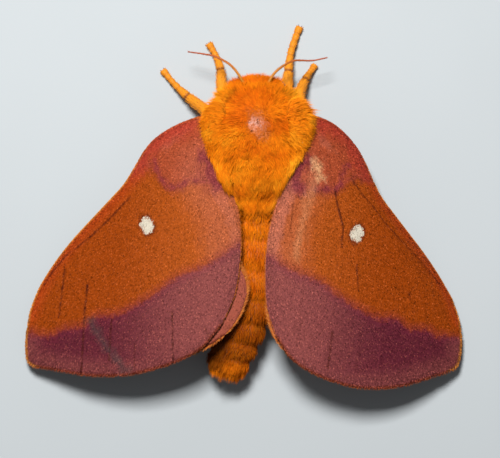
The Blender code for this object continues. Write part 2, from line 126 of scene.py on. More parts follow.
# Abdomen, out to the tips of its coat: its middle line in mm, then half its width and half its height
ABDOMEN_LINE = [
    (1.15, 1.2, 4.4, 2.6, 2.4),
    (1.15, -0.9, 4.2, 3.1, 2.75),
    (1.0, -4.5, 3.8, 3.3, 2.95),
    (0.5, -8.3, 3.45, 3.15, 2.9),
    (-0.25, -11.1, 3.15, 2.95, 2.75),
    (-0.95, -13.5, 2.9, 2.6, 2.5),
    (-1.45, -15.2, 2.65, 2.2, 2.1),
]
ABDOMEN_COAT = 0.55 * MM
ABDOMEN_SEGMENTS = 8
RING_DIP = 0.08

# The worn patch on the back, and the two partings between collar and shoulders, in mm from above
PATCH_CENTRE = np.array((1.6, 7.45, 9.3)) * MM
PATCH_HALF = np.array((0.95, 1.75)) * MM
PATCH_TURN = 0.47
PARTINGS = [[(-0.3, 10.3), (-0.9, 9.5), (-1.3, 8.6)], [(3.1, 10.5), (3.55, 9.6), (3.85, 8.6)]]

# Wings: root, apex and tornus, as in the part's source
SIDES = {
    "left": {
        "root": np.array((-3.20, 7.13, 8.0)) * MM,
        "apex": np.array((-20.72, -14.5, 1.1)) * MM,
        "tornus": np.array((-2.85, -12.30, 7.0)) * MM,
        "costa_fold": 0.0,
        "costa_drop": 1.4 * MM,
        "outer_bulge": 0.0,
        "hind_tuck": np.array((0.0, 0.0)),
        "inner_gap": 0.0,
        "spot": (0.327, 0.093),
        "inner_line": [(-0.2, 0.56), (-0.109, 0.41), (0.02, 0.22), (0.07, 0.16), (0.13, 0.12), (0.18, 0.085),
                       (0.22, 0.025), (0.255, -0.055), (0.29, -0.14), (0.393, -0.273), (0.5, -0.45)],
        "marks": {
            "purple": [(0.4, 0.6, 0.6, [(0.29, -0.19), (0.267, -0.13), (0.25, -0.06), (0.216, 0.03),
                                        (0.175, 0.08), (0.127, 0.11), (0.093, 0.13), (0.068, 0.165),
                                        (0.02, 0.225)]),
                       (2.0, 1.7, 0.3, [(-0.01, 0.19), (-0.02, 0.25), (-0.04, 0.3)]),
                       (1.1, 0.9, 0.7, [(0.012, 0.11), (-0.008, 0.165), (-0.02, 0.23), (-0.035, 0.28),
                                        (-0.065, 0.335)])],
            "red": [(1.9, 1.8, 0.9, [(0.4, -0.27), (0.35, -0.28), (0.29, -0.27), (0.21, -0.23),
                                     (0.12, -0.16)])],
            "pink": [(4.4, 3.2, 0.36, [(0.0, 0.2), (-0.04, 0.33), (-0.11, 0.53), (-0.14, 0.71)]),
                     (1.5, 1.4, 0.6, [(-0.04, 0.33), (-0.11, 0.53), (-0.14, 0.71), (-0.14, 0.9)]),
                     (0.7, 0.7, 0.4, [(0.23, -0.17), (0.16, -0.15), (0.1, -0.12)])],
            "dark": [(0.12, 0.08, 0.8, [(0.771, -0.205), (0.79, -0.1), (0.813, 0.005)]),
                     (0.13, 0.08, 0.85, [(0.651, 0.026), (0.669, 0.128), (0.692, 0.403)]),
                     (0.13, 0.08, 0.85, [(0.524, 0.336), (0.541, 0.511)]),
                     (0.1, 0.08, 0.6, [(0.401, 0.588), (0.408, 0.686)]),
                     (0.12, 0.08, 0.75, [(0.204, 0.645), (0.204, 0.883)]),
                     (0.11, 0.08, 0.6, [(0.035, 0.91), (0.005, 1.0)]),
                     (0.13, 0.1, 0.7, [(0.41, -0.136), (0.537, -0.16), (0.631, -0.187), (0.72, -0.222),
                                       (0.771, -0.244), (0.833, -0.249), (0.889, -0.237)])],
            "grey": [(0.75, 0.9, 0.7, [(0.636, 0.222), (0.583, 0.368), (0.514, 0.521), (0.456, 0.65)])],
            "cream": [],
        },
    },
    "right": {
        "root": np.array((5.96, 7.13, 8.0)) * MM,
        "apex": np.array((20.85, -14.45, 1.1)) * MM,
        "tornus": np.array((3.80, -13.20, 7.0)) * MM,
        "costa_fold": 0.28,
        "costa_drop": 1.8 * MM,
        "outer_bulge": 0.034,
        "hind_tuck": np.array((0.07, -0.055)),
        "inner_gap": 0.015,
        "spot": (0.337, 0.117),
        "inner_line": [(-0.2, 0.58), (-0.075, 0.355), (0.057, 0.215), (0.196, 0.068), (0.275, -0.076),
                       (0.36, -0.2), (0.5, -0.4)],
        "marks": {
            "purple": [(1.0, 0.9, 0.75, [(0.01, 0.13), (-0.03, 0.2), (-0.06, 0.26), (-0.04, 0.28),
                                         (-0.01, 0.27)]),
                       (0.5, 0.6, 0.65, [(0.1, 0.16), (0.14, 0.125), (0.185, 0.075), (0.215, 0.02),
                                         (0.228, -0.03), (0.235, -0.1)])],
            "red": [(2.1, 1.8, 0.9, [(0.08, -0.13), (0.18, -0.22), (0.25, -0.26), (0.31, -0.26),
                                     (0.34, -0.24)])],
            "pink": [(4.8, 3.4, 0.26, [(-0.06, 0.3), (-0.1, 0.45), (-0.13, 0.62), (-0.09, 0.87)]),
                     (1.6, 1.5, 0.85, [(-0.06, 0.3), (-0.1, 0.45), (-0.13, 0.62), (-0.13, 0.78),
                                       (-0.09, 0.87)]),
                     (0.6, 0.6, 0.35, [(0.07, -0.05), (0.14, -0.07)])],
            "dark": [(0.14, 0.08, 0.8, [(0.191, 0.074), (0.202, 0.104), (0.256, 0.175), (0.258, 0.265)]),
                     (0.12, 0.08, 0.7, [(0.352, 0.242), (0.377, 0.34)]),
                     (0.13, 0.08, 0.8, [(0.261, 0.647), (0.255, 0.825)]),
                     (0.11, 0.1, 0.45, [(0.088, 0.782), (0.065, 0.913)]),
                     (0.11, 0.08, 0.65, [(0.662, 0.042), (0.669, 0.073)]),
                     (0.12, 0.1, 0.45, [(-0.04, 0.36), (-0.04, 0.41), (-0.04, 0.5)]),
                     (0.14, 0.1, 0.7, [(0.271, -0.081), (0.348, -0.087), (0.411, -0.112), (0.495, -0.124),
                                       (0.59, -0.16), (0.712, -0.202), (0.803, -0.225), (0.85, -0.227)])],
            "grey": [],
            "cream": [(0.75, 0.9, 0.75, [(0.062, 0.077), (0.08, 0.09), (0.099, 0.111)]),
                      (1.0, 1.2, 0.16, [(0.07, 0.13), (0.04, 0.3), (0.02, 0.45), (0.01, 0.56)])],
        },
    },
}
WING_CAMBER = 1.3 * MM
HINDWING_DROP = 0.46 * MM
# Half the thickness of a wing's solid, and the membrane's upper side over its middle
SOLID_HALF = 0.25 * MM
SURFACE = SOLID_HALF - 0.04 * MM

# A wing's edges, each point in shares of the way from root to apex and from root to tornus
EDGES = {
    "fore": {
        "costa": [(-0.05, -0.03), (0.05, -0.12), (0.17, -0.213), (0.27, -0.27), (0.335, -0.28),
                  (0.41, -0.252), (0.46, -0.244), (0.56, -0.26), (0.75, -0.29), (0.87, -0.281),
                  (0.94, -0.246), (0.978, -0.195)],
        "outer": [(0.978, -0.195), (1.0, -0.1), (1.0, -0.01), (0.97, 0.07), (0.85, 0.22), (0.66, 0.455),
                  (0.465, 0.668), (0.32, 0.802), (0.176, 0.917), (0.05, 0.99), (-0.05, 0.995)],
        "inner": [(-0.07, 0.14), (-0.095, 0.3), (-0.128, 0.44), (-0.153, 0.58), (-0.16, 0.7), (-0.152, 0.81),
                  (-0.122, 0.93), (-0.05, 0.995)],
    },
    "hind": {
        "costa": [(-0.04, 0.13), (0.1, 0.03), (0.3, -0.035), (0.47, -0.035), (0.56, 0.0), (0.61, 0.07)],
        "outer": [(0.61, 0.07), (0.625, 0.17), (0.6, 0.28), (0.52, 0.43), (0.39, 0.63), (0.22, 0.85),
                  (0.05, 1.0), (-0.07, 1.065)],
        "inner": [(-0.045, 0.22), (-0.088, 0.42), (-0.122, 0.62), (-0.145, 0.8), (-0.182, 0.93),
                  (-0.18, 1.01), (-0.135, 1.06), (-0.07, 1.065)],
    },
}

# Veins in the same shares, from the stem of each to the margin
VEINS = {
    "fore": [
        [(0.0, -0.06), (0.17, -0.12), (0.33, -0.12), (0.54, -0.17), (0.7, -0.21), (0.8, -0.235),
         (0.93, -0.255)], [(0.0, 0.05), (0.12, 0.07), (0.22, 0.1), (0.33, 0.12), (0.39, 0.06), (0.4, -0.02),
                           (0.36, -0.1)],
        [(0.76, -0.22), (0.88, -0.18), (0.98, -0.12)],
        [(0.77, -0.215), (0.79, -0.1), (0.815, 0.01), (0.93, 0.1)],
        [(0.4, -0.02), (0.56, -0.06), (0.7, -0.02), (0.79, 0.12), (0.84, 0.22)],
        [(0.4, 0.0), (0.54, 0.0), (0.653, 0.032), (0.694, 0.168), (0.7, 0.4)],
        [(0.39, 0.06), (0.46, 0.18), (0.519, 0.337), (0.541, 0.511), (0.55, 0.575)],
        [(0.33, 0.12), (0.37, 0.3), (0.4, 0.5), (0.395, 0.74)],
        [(0.22, 0.1), (0.256, 0.21), (0.262, 0.36), (0.24, 0.6), (0.215, 0.885)],
        [(0.0, 0.09), (0.03, 0.3), (0.055, 0.5), (0.063, 0.694), (0.035, 0.86), (0.001, 0.99)],
    ],
    "hind": [
        [(0.0, 0.16), (0.2, 0.06), (0.42, 0.03), (0.6, 0.12)],
        [(0.15, 0.2), (0.36, 0.2), (0.56, 0.34)],
        [(0.1, 0.3), (0.3, 0.42), (0.44, 0.56)],
        [(0.05, 0.35), (0.18, 0.6), (0.27, 0.79)],
        [(-0.02, 0.3), (0.02, 0.62), (0.06, 0.97)],
        [(-0.06, 0.3), (-0.09, 0.65), (-0.07, 1.02)],
    ],
}
# The line where the outer band begins: the share to the tornus at each share to the apex
BAND_LINE = {
    "fore": [(-0.2, 0.76), (-0.14, 0.71), (0.0, 0.64), (0.17, 0.52), (0.24, 0.49), (0.36, 0.43), (0.5, 0.34),
             (0.61, 0.23), (0.68, 0.2), (0.8, 0.085), (0.86, 0.05), (0.99, -0.11), (1.1, -0.25)],
    "hind": [(-0.25, 0.72), (0.0, 0.62), (0.3, 0.42), (0.5, 0.22), (0.7, 0.0)],
}
SPOT_HALF = np.array((0.64, 0.9)) * MM
SPOT_TURN = 0.4
WINGS = {
    "forewing_left": ("left", "fore"),
    "forewing_right": ("right", "fore"),
    "hindwing_left": ("left", "hind"),
    "hindwing_right": ("right", "hind"),
}

# Legs from hip to foot and antennae from brow to tip, as in the part's source: places and radius in mm
LEGS = {
    "leg_fore_left": [(0.3, 8.6, 2.9, 0.5), (-1.5, 9.9, 3.0, 0.55), (-1.95, 11.3, 2.4, 0.5),
                      (-2.1, 13.1, 1.45, 0.42), (-2.5, 14.4, 0.75, 0.37), (-3.2, 15.7, 0.26, 0.32)],
    "leg_fore_right": [(2.3, 8.6, 2.9, 0.5), (3.9, 9.9, 3.0, 0.55), (4.25, 11.3, 2.4, 0.52),
                       (4.4, 13.0, 1.6, 0.44), (4.6, 14.6, 1.0, 0.38), (4.97, 15.9, 0.55, 0.39),
                       (5.5, 17.35, 0.26, 0.32)],
    "leg_mid_left": [(-0.4, 6.6, 2.6, 0.5), (-2.9, 8.7, 3.0, 0.55), (-5.25, 10.6, 1.5, 0.43),
                     (-6.6, 11.9, 0.75, 0.35), (-7.65, 13.15, 0.26, 0.32)],
    "leg_mid_right": [(2.9, 6.6, 2.6, 0.5), (5.15, 9.4, 3.0, 0.55), (5.45, 10.8, 2.3, 0.47),
                      (6.0, 12.2, 1.2, 0.38), (6.95, 13.6, 0.26, 0.32)],
    "leg_hind_left": [(0.2, 4.2, 2.6, 0.5), (-3.3, 2.6, 3.3, 0.55), (-4.1, -1.4, 1.4, 0.43),
                      (-4.2, -3.6, 0.6, 0.36), (-3.9, -5.8, 0.26, 0.32)],
    "leg_hind_right": [(2.3, 4.2, 2.6, 0.5), (5.8, 2.6, 3.3, 0.55), (6.6, -1.4, 1.4, 0.43),
                       (6.6, -3.6, 0.6, 0.36), (6.3, -5.8, 0.26, 0.32)],
}
LEG_JOINTS = {"leg_fore_left": (1, 3), "leg_fore_right": (1, 3), "leg_mid_left": (1, 2),
              "leg_mid_right": (1, 3), "leg_hind_left": (1, 2), "leg_hind_right": (1, 2)}
ANTENNAE = {
    "antenna_left": [(0.35, 11.2, 5.9), (-0.4, 12.5, 6.0), (-1.26, 13.46, 5.7), (-2.6, 14.2, 5.1),
                     (-3.9, 14.5, 4.6), (-5.16, 14.7, 4.2)],
    "antenna_right": [(2.25, 11.2, 5.9), (2.9, 12.4, 6.0), (3.75, 13.2, 5.7), (4.9, 13.8, 5.1),
                      (6.6, 13.85, 4.5), (8.05, 14.15, 4.2)],
}


def linear(text):
    """A colour from its sRGB hex value, as linear light."""
    channels = [int(text[k:k + 2], 16) / 255 for k in (1, 3, 5)]
    light = [c / 12.92 if c <= 0.04045 else ((c + 0.055) / 1.055) ** 2.4 for c in channels]
    return (*light, 1.0)


def length_prop(name, description, default):
    return FloatProperty(name=name, description=description, default=default, min=0.0, unit="LENGTH",
                         precision=6)


def count_prop(name, description, default):
    return IntProperty(name=name, description=description, default=default, min=1)


def colour_prop(name, description, text):
    return FloatVectorProperty(name=name, description=description, default=linear(text), size=4, min=0.0,
                               max=1.0, subtype="COLOR")


class MothBodySettings(bpy.types.PropertyGroup):
    voxel: length_prop("Voxel", "Size of the voxels that fuse the body's forms into one skin", 0.17 * MM)
    thorax_tufts: count_prop("Thorax tufts", "Number of tufts on the thorax", 42000)
    wedge_tufts: count_prop("Wedge tufts", "Number of tufts in the wedge behind the thorax", 9000)
    head_tufts: count_prop("Head tufts", "Number of tufts on the head", 7000)
    abdomen_tufts: count_prop("Abdomen tufts", "Number of tufts on the abdomen", 19000)
    brush_tufts: count_prop("Brush tufts", "Bristles at the end of the abdomen", 2400)
    thorax_hair: length_prop("Thorax hair", "Length of the thorax's longest tufts", 1.85 * MM)
    head_hair: length_prop("Head hair", "Length of the head's tufts", 1.08 * MM)
    abdomen_hair: length_prop("Abdomen hair", "Length of the abdomen's tufts", 0.88 * MM)
    brush_hair: length_prop("Brush hair", "Length of the bristles at the end of the abdomen", 1.65 * MM)
    tuft_width: length_prop("Tuft width", "Width of a tuft of the thorax at its root", 0.08 * MM)
    deep: colour_prop("Deep orange", "Fur of the head and the abdomen's joints", "#CE5B03")
    orange: colour_prop("Orange", "Fur of most of the body", "#EA7F0C")
    yellow: colour_prop("Yellow orange", "Fur of the shoulders and the right of the back", "#F2A420")
    bare: colour_prop("Bare back", "Skin and worn hair of the patch on the back", "#B85C20")


class MothWingSettings(bpy.types.PropertyGroup):
    thickness: length_prop("Thickness", "Thickness of a wing inside its margin", 0.22 * MM)
    vein_height: length_prop("Vein height", "How far a vein stands out of the wing", 0.07 * MM)
    vein_width: length_prop("Vein width", "Half width of a vein's ridge", 0.16 * MM)
    scale_length: length_prop("Scale length", "Length of a wing scale", 0.2 * MM)
    scale_width: length_prop("Scale width", "Width of a wing scale", 0.115 * MM)
    upper_scales: count_prop("Upper scales", "Scales on a forewing's upper side", 30000)
    lower_scales: count_prop("Lower scales", "Scales on a forewing's lower side", 6500)
    hind_scales: count_prop("Hindwing scales", "Scales on each side of a hindwing", 4500)
    fringe: length_prop("Fringe", "Length of the hair scales along the outer margins", 0.36 * MM)
    median: colour_prop("Median", "Middle of the wing", "#8A3804")
    warm: colour_prop("Warm median", "Middle of the wing towards the inner margin", "#A65018")
    inner: colour_prop("Inner sheen", "Pink sheen along the inner margin", "#A85F4A")
    basal: colour_prop("Basal", "Wing near its root", "#933F23")
    shoulder: colour_prop("Shoulder", "Leading edge near the root", "#9C3324")
    line: colour_prop("Lines", "Purple lines and tints near the root", "#681E30")
    band: colour_prop("Outer band", "Purple pink band along the outer margin", "#561D28")
    band_light: colour_prop("Band by the tornus", "Band near the inner margin", "#7D3F3C")
    hind: colour_prop("Hindwing", "Hindwing near the inner margin", "#934A3A")
    costa: colour_prop("Costa", "Leading edge", "#A83A11")
    edge: colour_prop("Edge", "Rolled rim of the leading edge", "#D88A34")
    margin: colour_prop("Margin", "Rim of the outer margin", "#6E2C18")
    spot: colour_prop("Spot", "White spot", "#C4BAA7")
    streak: colour_prop("Streak", "Dark worn veins", "#3A100A")
    worn: colour_prop("Worn", "Grey stroke where the scales are gone", "#453636")
    fringe_colour: colour_prop("Fringe colour", "Hair scales of the margins", "#A8541E")


class MothLimbSettings(bpy.types.PropertyGroup):
    antenna_radius: length_prop("Antenna radius", "Radius of an antenna at its base", 0.125 * MM)
    leg_hair: length_prop("Leg hair", "Length of the tufts on the legs", 0.4 * MM)
    leg_tufts: count_prop("Leg tufts", "Number of tufts on one leg", 900)
    leg: colour_prop("Leg", "Scales of the legs", "#DC8812")
    ring: colour_prop("Joint ring", "Dark rings at the joints", "#6A2E08")
    claw: colour_prop("Claw", "Claws and spurs", "#3A1A0C")
    antenna: colour_prop("Antenna", "Antenna near its base", "#C8801E")
    antenna_tip: colour_prop("Antenna tip", "Antenna at its tip", "#B4562E")
    eye: colour_prop("Eye", "Compound eye", "#1A0F0A")


class MothStageSettings(bpy.types.PropertyGroup):
    floor: colour_prop("Floor", "Plain pale floor", "#AEB3B5")
    key_power: FloatProperty(name="Key light", description="Power of the light on the head's side",
                             default=0.8, min=0.0, unit="POWER")
    fill_strength: FloatProperty(name="Fill", description="Strength of the even light from all round",
                                 default=0.16, min=0.0)


# Arrays

def unit(v):
    return v / np.maximum(np.linalg.norm(v, axis=-1, keepdims=True), 1e-12)


def smoothstep(x):
    x = np.clip(x, 0.0, 1.0)
    return x * x * (3 - 2 * x)


def ramp(value, start, end):
    """0 up to the start, 1 from the end on, and smooth between them."""
    return smoothstep((value - start) / (end - start))


def smooth_line(points, shares):
    """The points at these shares of the length of a smooth curve through the given ones, of any dimension."""
    p = np.array(points, float)
    p = np.vstack([2 * p[0] - p[1], p, 2 * p[-1] - p[-2]])
    t = np.linspace(0, 1, 12, endpoint=False)[:, None]
    dense = [0.5 * (2 * b + (c - a) * t + (2 * a - 5 * b + 4 * c - d) * t ** 2
                    + (3 * b - a - 3 * c + d) * t ** 3)
             for a, b, c, d in zip(p, p[1:], p[2:], p[3:])]
    dense = np.vstack(dense + [p[-2]])
    run = np.concatenate([[0], np.cumsum(np.linalg.norm(np.diff(dense, axis=0), axis=1))])
    return np.stack([np.interp(np.asarray(shares) * run[-1], run, column) for column in dense.T], 1)


def distance_to(points, line):
    """The distance of each point from a polyline."""
    best = np.full(points.shape[:-1], np.inf)
    for a, b in zip(line, line[1:]):
        t = np.clip(((points - a) @ (b - a)) / max(1e-18, (b - a) @ (b - a)), 0, 1)
        best = np.minimum(best, np.linalg.norm(points - a - t[..., None] * (b - a), axis=-1))
    return best


def systematic(weights, count, rng):
    """Indices drawn in proportion to their weights, spread as evenly as the weights allow."""
    ends = np.cumsum(weights)
    places = (np.arange(count) + rng.random(count)) / count * ends[-1]
    return np.minimum(len(ends) - 1, np.searchsorted(ends, places))


def ripple(points, size, seed):
    """A smooth random field between -1 and 1 whose waves are about this size."""
    rng = np.random.default_rng(seed)
    total = np.zeros(points.shape[:-1])
    for _ in range(6):
        way = unit(rng.normal(size=3)) / size * rng.uniform(0.7, 1.5)
        total = total + np.sin(points @ way * math.tau + rng.uniform(0, math.tau))
    return total / 3.2


# Meshes

def mesh_from(name, bm):
    """A mesh with the bmesh's contents. The bmesh is freed."""
    mesh = bpy.data.meshes.new(name)
    bm.to_mesh(mesh)
    bm.free()
    return mesh


def linked(name, data):
    """A new object in the scene."""
    obj = bpy.data.objects.new(name, data)
    bpy.context.scene.collection.objects.link(obj)
    return obj


def piece_from(name, mesh, material, replaced=()):
    """A finished piece: an object at the origin that rides on the body and takes its finish from a slot."""
    mesh.materials.clear()
    mesh.materials.append(material)
    mesh.shade_smooth()
    obj = linked(name, mesh)
    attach(obj, BODY)
    if replaced:
        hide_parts(*replaced)


def set_attribute(mesh, name, values):
    """Stores one number, or a vector of three, for each point of the mesh."""
    values = np.asarray(values, np.float32)
    vector = values.ndim == 2
    layer = mesh.attributes.new(name, "FLOAT_VECTOR" if vector else "FLOAT", "POINT")
    layer.data.foreach_set("vector" if vector else "value", values.ravel())


def joined(name, points, pattern, bake, patch, marks, normals):
    """One mesh of many like closed pieces, shaded by the given normal of every corner.

    points is pieces x corners x 3, and pattern lists the corners of one piece's triangles. bake holds
    each root's place on the unwrapped skin and patch each corner's place in its small patch round it.
    marks maps the name of each attribute to its values for every piece, or for every piece and corner.
    """
    count, corners = points.shape[:2]
    loops = (np.arange(count)[:, None, None] * corners + np.array(pattern)[None]).reshape(-1)
    mesh = bpy.data.meshes.new(name)
    mesh.vertices.add(count * corners)
    mesh.vertices.foreach_set("co", points.astype(np.float32).ravel())
    mesh.loops.add(len(loops))
    mesh.loops.foreach_set("vertex_index", loops.astype(np.int32))
    mesh.polygons.add(len(loops) // 3)
    mesh.polygons.foreach_set("loop_start", np.arange(0, len(loops), 3, dtype=np.int32))
    mesh.update(calc_edges=True)
    place = (bake[:, None] + PATCH_SIZE * (np.array(patch)[None] - 0.5)).reshape(-1, 2)
    mesh.uv_layers.new(name="OFBake").data.foreach_set("uv", place[loops].astype(np.float32).ravel())
    for key, values in marks.items():
        values = np.asarray(values, float)
        if values.shape[:2] != (count, corners):
            values = np.repeat(values[:, None], corners, axis=1)
        set_attribute(mesh, key, values.reshape(count * corners, *values.shape[2:]))
    mesh.shade_smooth()
    mesh.normals_split_custom_set_from_vertices(unit(normals.reshape(-1, 3)).astype(np.float32))
    return mesh


def tuft_mesh(name, roots, outs, lies, sizes, bake, marks, rng, rings=2, bend=6.5 * MM, clump=0, pull=0.4,
              flat=1.0, limits=None, soft=0.45, raised=0.9):
    """Tapered three-sided tufts that rise from the skin and lie over along it, drawn together in clumps.

    sizes holds each tuft's length, rise over the skin and width. flat tells how far its way is turned
    into the skin's plane, and limits the heights that it stays above and below. soft is the share of
    the skin's own normal, raised towards the light, in a tuft's shading. The mark along runs from 0 at
    the root to 1 at the tip.
    """
    length, rise, width = (np.asarray(s, float)[:, None, None] for s in sizes)
    run = unit(lies - np.reshape(flat, (-1, 1)) * (lies * outs).sum(1, keepdims=True) * outs)
    side = unit(np.cross(outs, run))
    s = np.array([0.0, 0.5, 1.0] if rings == 2 else [0.0, 0.4, 0.78, 1.0])[None, :, None]
    out = outs[:, None]
    height = rise * (1 - (1 - s) ** 2) - (length * s) ** 2 / (2 * bend)
    line = roots[:, None] + out * height + run[:, None] * length * s
    line[:, 0] -= outs * ROOT_DEPTH
    if clump:
        chosen = rng.choice(len(roots), max(1, len(roots) // clump), replace=False)
        near = nearest(roots, roots[chosen])
        line += pull * s ** 2 * (line[chosen][near] - line)
    if limits:
        line[:, 1:, 2] = limits(roots, line[:, 1:], rng)
    share = np.array([1.0, 0.8] if rings == 2 else [1.0, 0.9, 0.62])[None, :, None]
    corners, normals = [], []
    open_ = unit(out + (0.0, 0.0, raised))
    for turn in (math.pi / 2, math.pi * 7 / 6, math.pi * 11 / 6):
        across = side[:, None] * math.cos(turn) + 0.7 * out * math.sin(turn)
        corners.append(line[:, :-1] + across * width * share / 2)
        normals.append(np.repeat(soft * open_ + (1 - soft) * across, rings, axis=1))
    points = np.concatenate([np.stack(corners, 2).reshape(len(roots), rings * 3, 3), line[:, -1:]], 1)
    normals = np.concatenate([np.stack(normals, 2).reshape(len(roots), rings * 3, 3), open_], 1)
    points[..., 2] = np.maximum(points[..., 2], 0.0)
    pattern = [(0, 2, 1)]
    for r in range(rings - 1):
        for k in range(3):
            a, b, c, d = r * 3 + k, r * 3 + (k + 1) % 3, r * 3 + 3 + (k + 1) % 3, r * 3 + 3 + k
            pattern += [(a, b, c), (a, c, d)]
    top = rings * 3
    pattern += [(top - 3 + k, top - 3 + (k + 1) % 3, top) for k in range(3)]
    patch = [(k / 2, r / rings) for r in range(rings) for k in range(3)] + [(0.5, 1.0)]
    along = np.repeat(np.append(np.repeat(s[0, :-1, 0], 3), 1.0)[None], len(roots), axis=0)
    return joined(name, points, pattern, bake, patch, {**marks, "along": along}, normals)


def nearest(points, centres):
    """For each point the index of the nearest centre."""
    found = np.empty(len(points), int)
    for start in range(0, len(points), 2000):
        block = points[start:start + 2000]
        found[start:start + 2000] = ((block[:, None] - centres[None]) ** 2).sum(-1).argmin(1)
    return found


def evaluated_mesh(obj):
    """The object's mesh with its modifiers, or a curve's with its bevel, as a mesh of its own."""
    bpy.context.view_layer.update()
    return bpy.data.meshes.new_from_object(obj.evaluated_get(bpy.context.evaluated_depsgraph_get()))


def faces_of(mesh):
    """Centres, normals and areas of a mesh's faces, as arrays."""
    count = len(mesh.polygons)
    centres, normals, areas = np.empty(count * 3), np.empty(count * 3), np.empty(count)
    mesh.polygons.foreach_get("center", centres)
    mesh.polygons.foreach_get("normal", normals)
    mesh.polygons.foreach_get("area", areas)
    return centres.reshape(-1, 3), normals.reshape(-1, 3), areas


def points_of(mesh):
    co = np.empty(len(mesh.vertices) * 3)
    mesh.vertices.foreach_get("co", co)
    return co.reshape(-1, 3)


# Materials

def fill(tree, node, inputs):
    """Sets inputs, by key or in order, to values, sockets, or the first output in use of other nodes."""
    for key, value in inputs.items() if isinstance(inputs, dict) else enumerate(inputs):
        if isinstance(value, bpy.types.Node):
            value = next(output for output in value.outputs if output.enabled)
        if isinstance(value, bpy.types.NodeSocket):
            tree.links.new(value, node.inputs[key])
        else:
            node.inputs[key].default_value = value


def add(tree, kind, inputs=(), stops=(), **settings):
    """Adds one node with these inputs. Each setting is a property, and stops fill a ramp."""
    made = tree.nodes.new("ShaderNode" + kind)
    for key, value in settings.items():
        setattr(made, key, value)
    fill(tree, made, inputs)
    for index, (place, colour) in enumerate(stops):
        elements = made.color_ramp.elements
        stop = elements[index] if index < len(elements) else elements.new(place)
        stop.position = place
        stop.color = colour
    return made


# Settings of nodes that lay one colour over another, multiply colours, and fade smoothly
OVER = {"data_type": "RGBA"}
TIMES = {"data_type": "RGBA", "blend_type": "MULTIPLY"}
SMOOTH = {"interpolation_type": "SMOOTHSTEP"}


def start_material(name, **values):
    """A new material with its tree and its shader, on which the values that are the same all over are set."""
    material = bpy.data.materials.new(name)
    material.use_nodes = True
    tree = material.node_tree
    shader = tree.nodes["Principled BSDF"]
    for key, value in values.items():
        shader.inputs[key.replace("_", " ")].default_value = value
    return material, tree, shader


def coat_parts(tree):
    """The coat's tone, lightness with its painted shade, and wear, as sockets."""
    marks = add(tree, "Attribute", attribute_name="coat")
    return add(tree, "SeparateXYZ", [marks.outputs["Vector"]]).outputs


def coat_colour(tree, s, tone, bare, light):
    """The coat's colour: deep orange to yellow by its tone, then the bare back, then its lightness."""
    colour = add(tree, "ValToRGB", [tone], [(0.0, s.deep), (0.5, s.orange), (1.0, s.yellow)])
    colour = add(tree, "Mix", {0: bare, 6: colour, 7: s.bare}, **OVER)
    return add(tree, "Mix", {0: 1.0, 6: colour, 7: light}, **TIMES)


def hair_material(s):
    """Hair-like scales of chitin: dry and matt, with painted shade that darkens them towards their roots."""
    material, tree, shader = start_material("chitin_hair", Roughness=0.7, IOR=1.55, Specular_IOR_Level=0.04)
    tone, light, bare = coat_parts(tree)
    along = add(tree, "Attribute", attribute_name="along").outputs["Fac"]
    place = add(tree, "TexCoord").outputs["Object"]
    # Colour drifts over about 1 mm, as between locks
    drift = add(tree, "TexNoise", {"Vector": place, "Scale": 900.0, "Detail": 2.0})
    tone = add(tree, "Math", (drift, 0.3, tone), operation="MULTIPLY_ADD")
    tone = add(tree, "Math", (tone, 0.15), operation="SUBTRACT", use_clamp=True)
    # Painted shade deep in the coat: each tuft darkens towards its root
    root = add(tree, "MapRange", (along, 0.0, 0.6, 0.75, 1.0))
    light = add(tree, "Math", (root, light), operation="MULTIPLY")
    fill(tree, shader, {"Base Color": coat_colour(tree, s, tone, bare, light)})
    return material


def skin_material(s):
    """Cuticle under the fur: the coat's colours, with flat hair as bump and a gloss on the worn patch."""
    material, tree, shader = start_material("furred_cuticle", IOR=1.56, Specular_IOR_Level=0.4)
    tone, light, bare = coat_parts(tree)
    place = add(tree, "TexCoord").outputs["Object"]
    # Flat hair about 0.08 mm apart, drawn out along the body
    grain = add(tree, "Mapping", {"Vector": place, "Scale": (12000, 2500, 12000)})
    hair = add(tree, "TexNoise", {"Vector": grain, "Scale": 1.0, "Detail": 3.0})
    dim = add(tree, "MapRange", (hair, 0.3, 0.7, 0.6, 1.0))
    light = add(tree, "Math", (dim, light), operation="MULTIPLY")
    # Rubbed places about 0.3 mm across lie level and shine
    rubbed = add(tree, "TexNoise", {"Vector": place, "Scale": 3000.0, "Detail": 1.0})
    gloss = add(tree, "MapRange", (bare, 0.15, 0.5, 0.8, 0.42))
    relief = add(tree, "Mix", {0: gloss, 2: rubbed, 3: hair})
    bump = add(tree, "Bump", {"Height": relief, "Strength": 0.8, "Distance": 0.08 * MM})
    colour = coat_colour(tree, s, tone, bare, light)
    fill(tree, shader, {"Base Color": colour, "Roughness": gloss, "Normal": bump})
    return material


